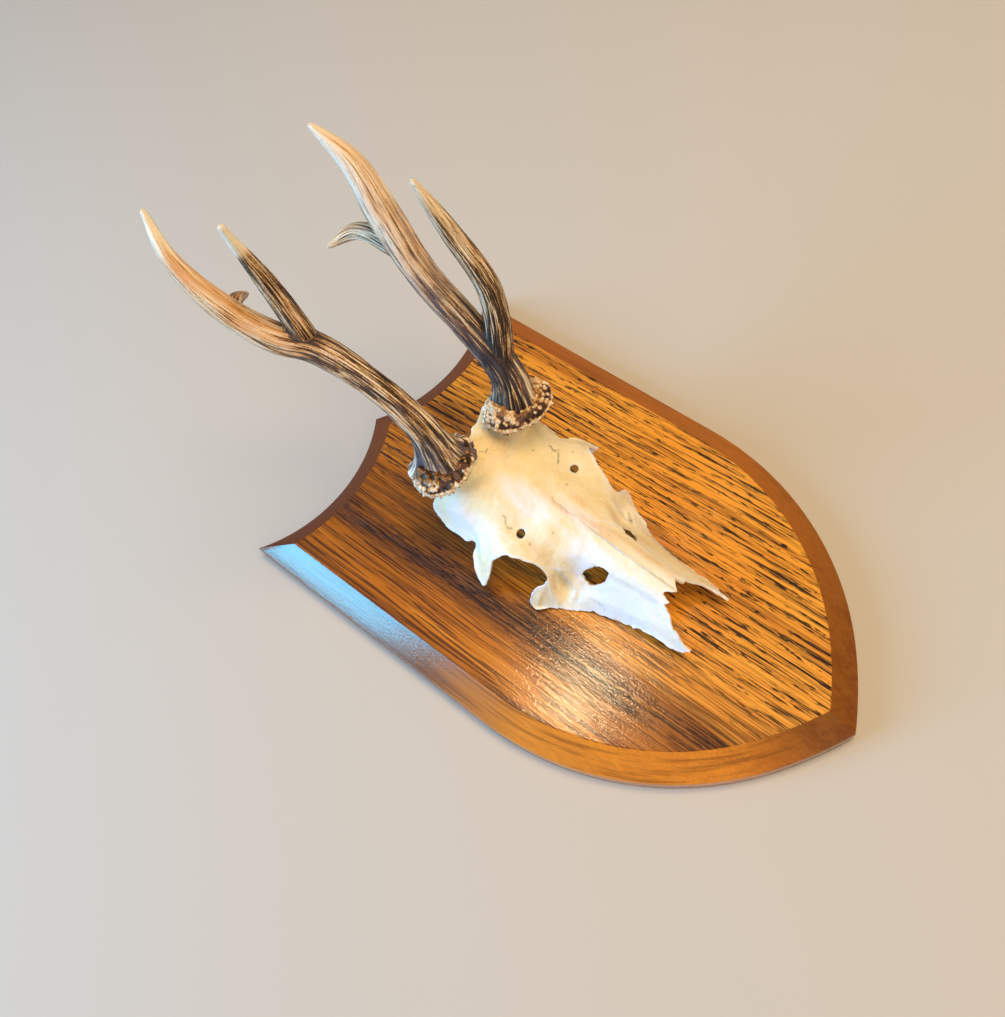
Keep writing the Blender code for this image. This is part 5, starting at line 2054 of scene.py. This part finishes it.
RIGHT_ANTLER = Antler(
    foot=RIGHT_FOOT,
    beam=Branch(
        ((-21.5, -96.0, 86.5, 10.5, 10.0), (-21.6, -90.5, 112, 7.2, 7.0), (-24.3, -72.4, 136.3, 6.3, 6.1),
         (-30.8, -50.0, 155.6, 7.1, 6.4), (-39.5, -38.0, 164.5, 6.8, 6.0), (-45.2, -23.4, 177.2, 6.1, 5.4),
         (-46.4, -1.8, 197.9, 3.9, 3.6), (-39.5, 13.0, 214, 1.3, 1.2)),
        dark=((0, 0.58), (0.12, 0.48), (0.3, 0.49), (0.45, 0.55), (0.55, 0.34), (0.62, 0.20), (0.85, 0.16),
              (0.93, 0.02), (1, 0.0)),
        warm=((0, 0.0), (0.15, 0.35), (0.4, 0.25), (0.6, 0.7), (0.88, 0.7), (0.93, 0.1), (1, 0.0)),
        bare=((0, 0), (0.5, 0.1), (0.75, 0.45), (0.9, 0.6), (0.94, 1), (1, 1)),
        pearly=16.0, flare=6.0,
    ),
    tines=(
        Branch(
            ((-30.8, -47.5, 157, 5.8, 5.4), (-29.9, -39.5, 186, 4.6, 4.4), (-32.2, -32.9, 223, 1.5, 1.4)),
            dark=((0, 0.55), (0.4, 0.58), (0.74, 0.60), (0.80, 0.06), (1, 0.0)),
            warm=((0, 0.3), (0.7, 0.35), (0.82, 0.0), (1, 0)),
            bare=((0, 0), (0.72, 0.1), (0.8, 0.95), (1, 1)),
        ),
        Branch(
            ((-45.0, -23.5, 177, 4.8, 4.2), (-37.0, -14.0, 170.5, 3.8, 3.4), (-24.5, 3.5, 150.5, 1.2, 1.1)),
            dark=((0, 0.3), (0.6, 0.42), (1, 0.2)), warm=((0, 0.3), (1, 0.3)),
            bare=((0, 0.3), (1, 0.7)),
        ),
    ),
    seed=3,
    ash_and_window_sheen=((0, 0.85), (9, 0.75), (22, 0.25), (60, 0.15), (78, 0.45), (95, 0.25), (110, 0.0)),
    coronet_radii=(19.0, 18.6, 17.6, 16.6, 16.0, 15.8, 16.2, 16.8, 17.2, 17.4, 17.6, 18.4),
    skirt=((-0.25, 5.5),),
    skirt_tone=0.12,
)
LEFT_ANTLER = Antler(
    foot=LEFT_FOOT,
    beam=Branch(
        ((23.0, -105.5, 86.0, 11.0, 10.5), (27.1, -99.2, 105.1, 8.2, 7.8), (28.0, -79.9, 126.9, 7.6, 7.0),
         (29.0, -58.3, 145.8, 7.6, 6.8), (35.6, -35.2, 164.6, 8.0, 6.8), (41.3, -17.1, 182, 5.9, 5.2),
         (39.7, 2.0, 197.5, 1.4, 1.2)),
        dark=((0, 0.72), (0.2, 0.72), (0.32, 0.62), (0.40, 0.40), (0.52, 0.14), (0.85, 0.04), (1, 0.0)),
        warm=((0, 0.0), (0.25, 0.2), (0.42, 0.6), (0.6, 0.4), (0.9, 0.35), (1, 0.05)),
        bare=((0, 0), (0.4, 0.1), (0.8, 0.45), (0.97, 0.9), (1, 1)),
        patches=((2, 34, -1.1, 0.34, -0.62), (44, 120, 2.6, 0.7, 0.32)),
        pearly=6.0, flare=3.4,
    ),
    tines=(
        Branch(
            ((28.5, -96.5, 109, 6.6, 6.4), (36.9, -91.6, 148, 5.6, 5.4), (36.0, -76.8, 179.7, 4.4, 4.2),
             (34.0, -66.0, 204, 1.4, 1.3)),
            dark=((0, 0.76), (0.35, 0.60), (0.6, 0.46), (0.8, 0.34), (0.95, 0.1), (1, 0.05)),
            warm=((0, 0.05), (0.6, 0.15), (1, 0.1)),
            bare=((0, 0), (0.8, 0.3), (0.96, 1), (1, 1)),
        ),
        Branch(
            ((31.0, -49.0, 153, 5.2, 4.6), (30.8, -14.9, 148.6, 4.3, 3.8), (18.0, -4.5, 144, 1.3, 1.2)),
            dark=((0, 0.42), (0.6, 0.36), (1, 0.12)),
            bare=((0, 0.2), (0.8, 0.5), (1, 1)),
        ),
    ),
    seed=11,
    ash_and_window_sheen=((0, 0.25), (20, 0.35), (42, 0.55), (60, 0.65), (110, 0.45), (140, 0.0)),
    coronet_radii=(18.8, 18.4, 17.6, 16.8, 17.2, 18.0, 18.8, 17.6, 16.6, 16.8, 17.4, 18.4),
    skirt=((0.2, 4.5), (3.4, 3.5)),
    skirt_tone=0.75,
)


# --- studio ---


class Lights(Enum):
    """What a lamp adds to: the shading of surfaces, or only the shine on them."""

    SHADING = "shading"
    SHINE = "shine"


@dataclass(frozen=True)
class Lamp:
    """Soft rectangular lamp that looks at the mount."""

    name: str
    toward: tuple[float, float, float]    # direction from the mount to the lamp
    distance: float
    size: tuple[float, float]
    colour: str
    watts: float
    adds: Lights

    def light(self) -> None:
        """Set the lamp up."""
        data = bpy.data.lights.new(self.name, "AREA")
        data.shape = "RECTANGLE"
        data.size, data.size_y = self.size
        data.color = linear(self.colour)[:3]
        data.energy = self.watts
        lamp = bpy.data.objects.new(self.name, data)
        direction = Vector(self.toward).normalized()
        lamp.location = direction * self.distance
        lamp.rotation_mode = "QUATERNION"
        lamp.rotation_quaternion = direction.to_track_quat("Z", "Y")
        lamp.visible_glossy = self.adds is Lights.SHINE
        lamp.visible_diffuse = self.adds is Lights.SHADING
        bpy.context.scene.collection.objects.link(lamp)


@dataclass(frozen=True)
class Studio:
    """Pale floor, soft lamps, even sky and the camera."""

    lamps: tuple[Lamp, ...] = (
        Lamp("cool_window", (-0.76, 0.55, 0.38), 1.5, (0.8, 0.9), "#84BEFF", 33.0, Lights.SHADING),
        Lamp("window_gloss", (-0.75, 0.57, 0.30), 1.5, (0.70, 0.8), "#3CC0F0", 40.0, Lights.SHINE),
        Lamp("warm_ceiling", (0.15, -0.16, 0.97), 1.8, (0.9, 0.9), "#FFE4BE", 26.0, Lights.SHADING),
        Lamp("ceiling_glint", (0.130, 0.350, 1.760), 1.8, (0.10, 0.10), "#FFE0AE", 5.4, Lights.SHINE),
        Lamp("soft_fill", (-0.2, -0.85, 0.9), 2.2, (1.6, 1.6), "#FFE8C8", 9.0, Lights.SHADING),
    )
    floor_reach: float = 4.0       # from the middle to each edge
    floor_drop: float = 0.0002     # below the shield, so that the two never share a plane
    sky: str = "#F2F1EE"
    sky_strength: float = 0.22
    camera_place: tuple[float, float, float] = (-0.1344, -0.1542, 0.4729)
    right: tuple[float, float, float] = (0.6213, -0.7648, -0.1703)
    down: tuple[float, float, float] = (-0.7425, -0.5052, -0.4398)
    ahead: tuple[float, float, float] = (0.2503, 0.3997, -0.8818)
    film: float = 36.0             # millimetres, the picture's long side
    lens: float = 33.84            # millimetres

    def build(self) -> None:
        """Set up the floor, light and camera."""
        mesh = bpy.data.meshes.new("studio_floor")
        corners = [(x * self.floor_reach, y * self.floor_reach, -self.floor_drop)
                   for x, y in ((-1, -1), (1, -1), (1, 1), (-1, 1))]
        mesh.from_pydata(corners, [], [(0, 1, 2, 3)])
        mesh.materials.append(PAPER.material())
        floor = bpy.data.objects.new("studio_floor", mesh)
        bpy.context.scene.collection.objects.link(floor)
        for lamp in self.lamps:
            lamp.light()
        world = bpy.data.worlds.new("studio_sky")
        world.use_nodes = True
        feed(world.node_tree, world.node_tree.nodes["Background"], {
            "Color": self.sky, "Strength": self.sky_strength,
        })
        bpy.context.scene.world = world
        bpy.context.scene.view_settings.view_transform = "Standard"
        data = bpy.data.cameras.new("view")
        data.sensor_width = self.film
        data.lens = self.lens
        data.clip_start, data.clip_end = 0.01, 50.0
        camera = bpy.data.objects.new("view", data)
        rows = Matrix((self.right, [-v for v in self.down], [-v for v in self.ahead]))
        camera.matrix_world = Matrix.Translation(self.camera_place) @ rows.transposed().to_4x4()
        bpy.context.scene.collection.objects.link(camera)
        bpy.context.scene.camera = camera


def clear_scene() -> None:
    """Remove everything that the scene starts with."""
    for obj in list(bpy.data.objects):
        bpy.data.objects.remove(obj, do_unlink=True)


def main() -> None:
    """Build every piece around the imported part."""
    logging.basicConfig(level=logging.INFO, format="%(message)s")
    clear_scene()
    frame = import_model()
    OakShield().build()
    HangingPlate().build(frame)
    SkullCap((RIGHT_FOOT, LEFT_FOOT)).build()
    RIGHT_ANTLER.build()
    LEFT_ANTLER.build()
    Studio().build()


if __name__ == "__main__":
    main()
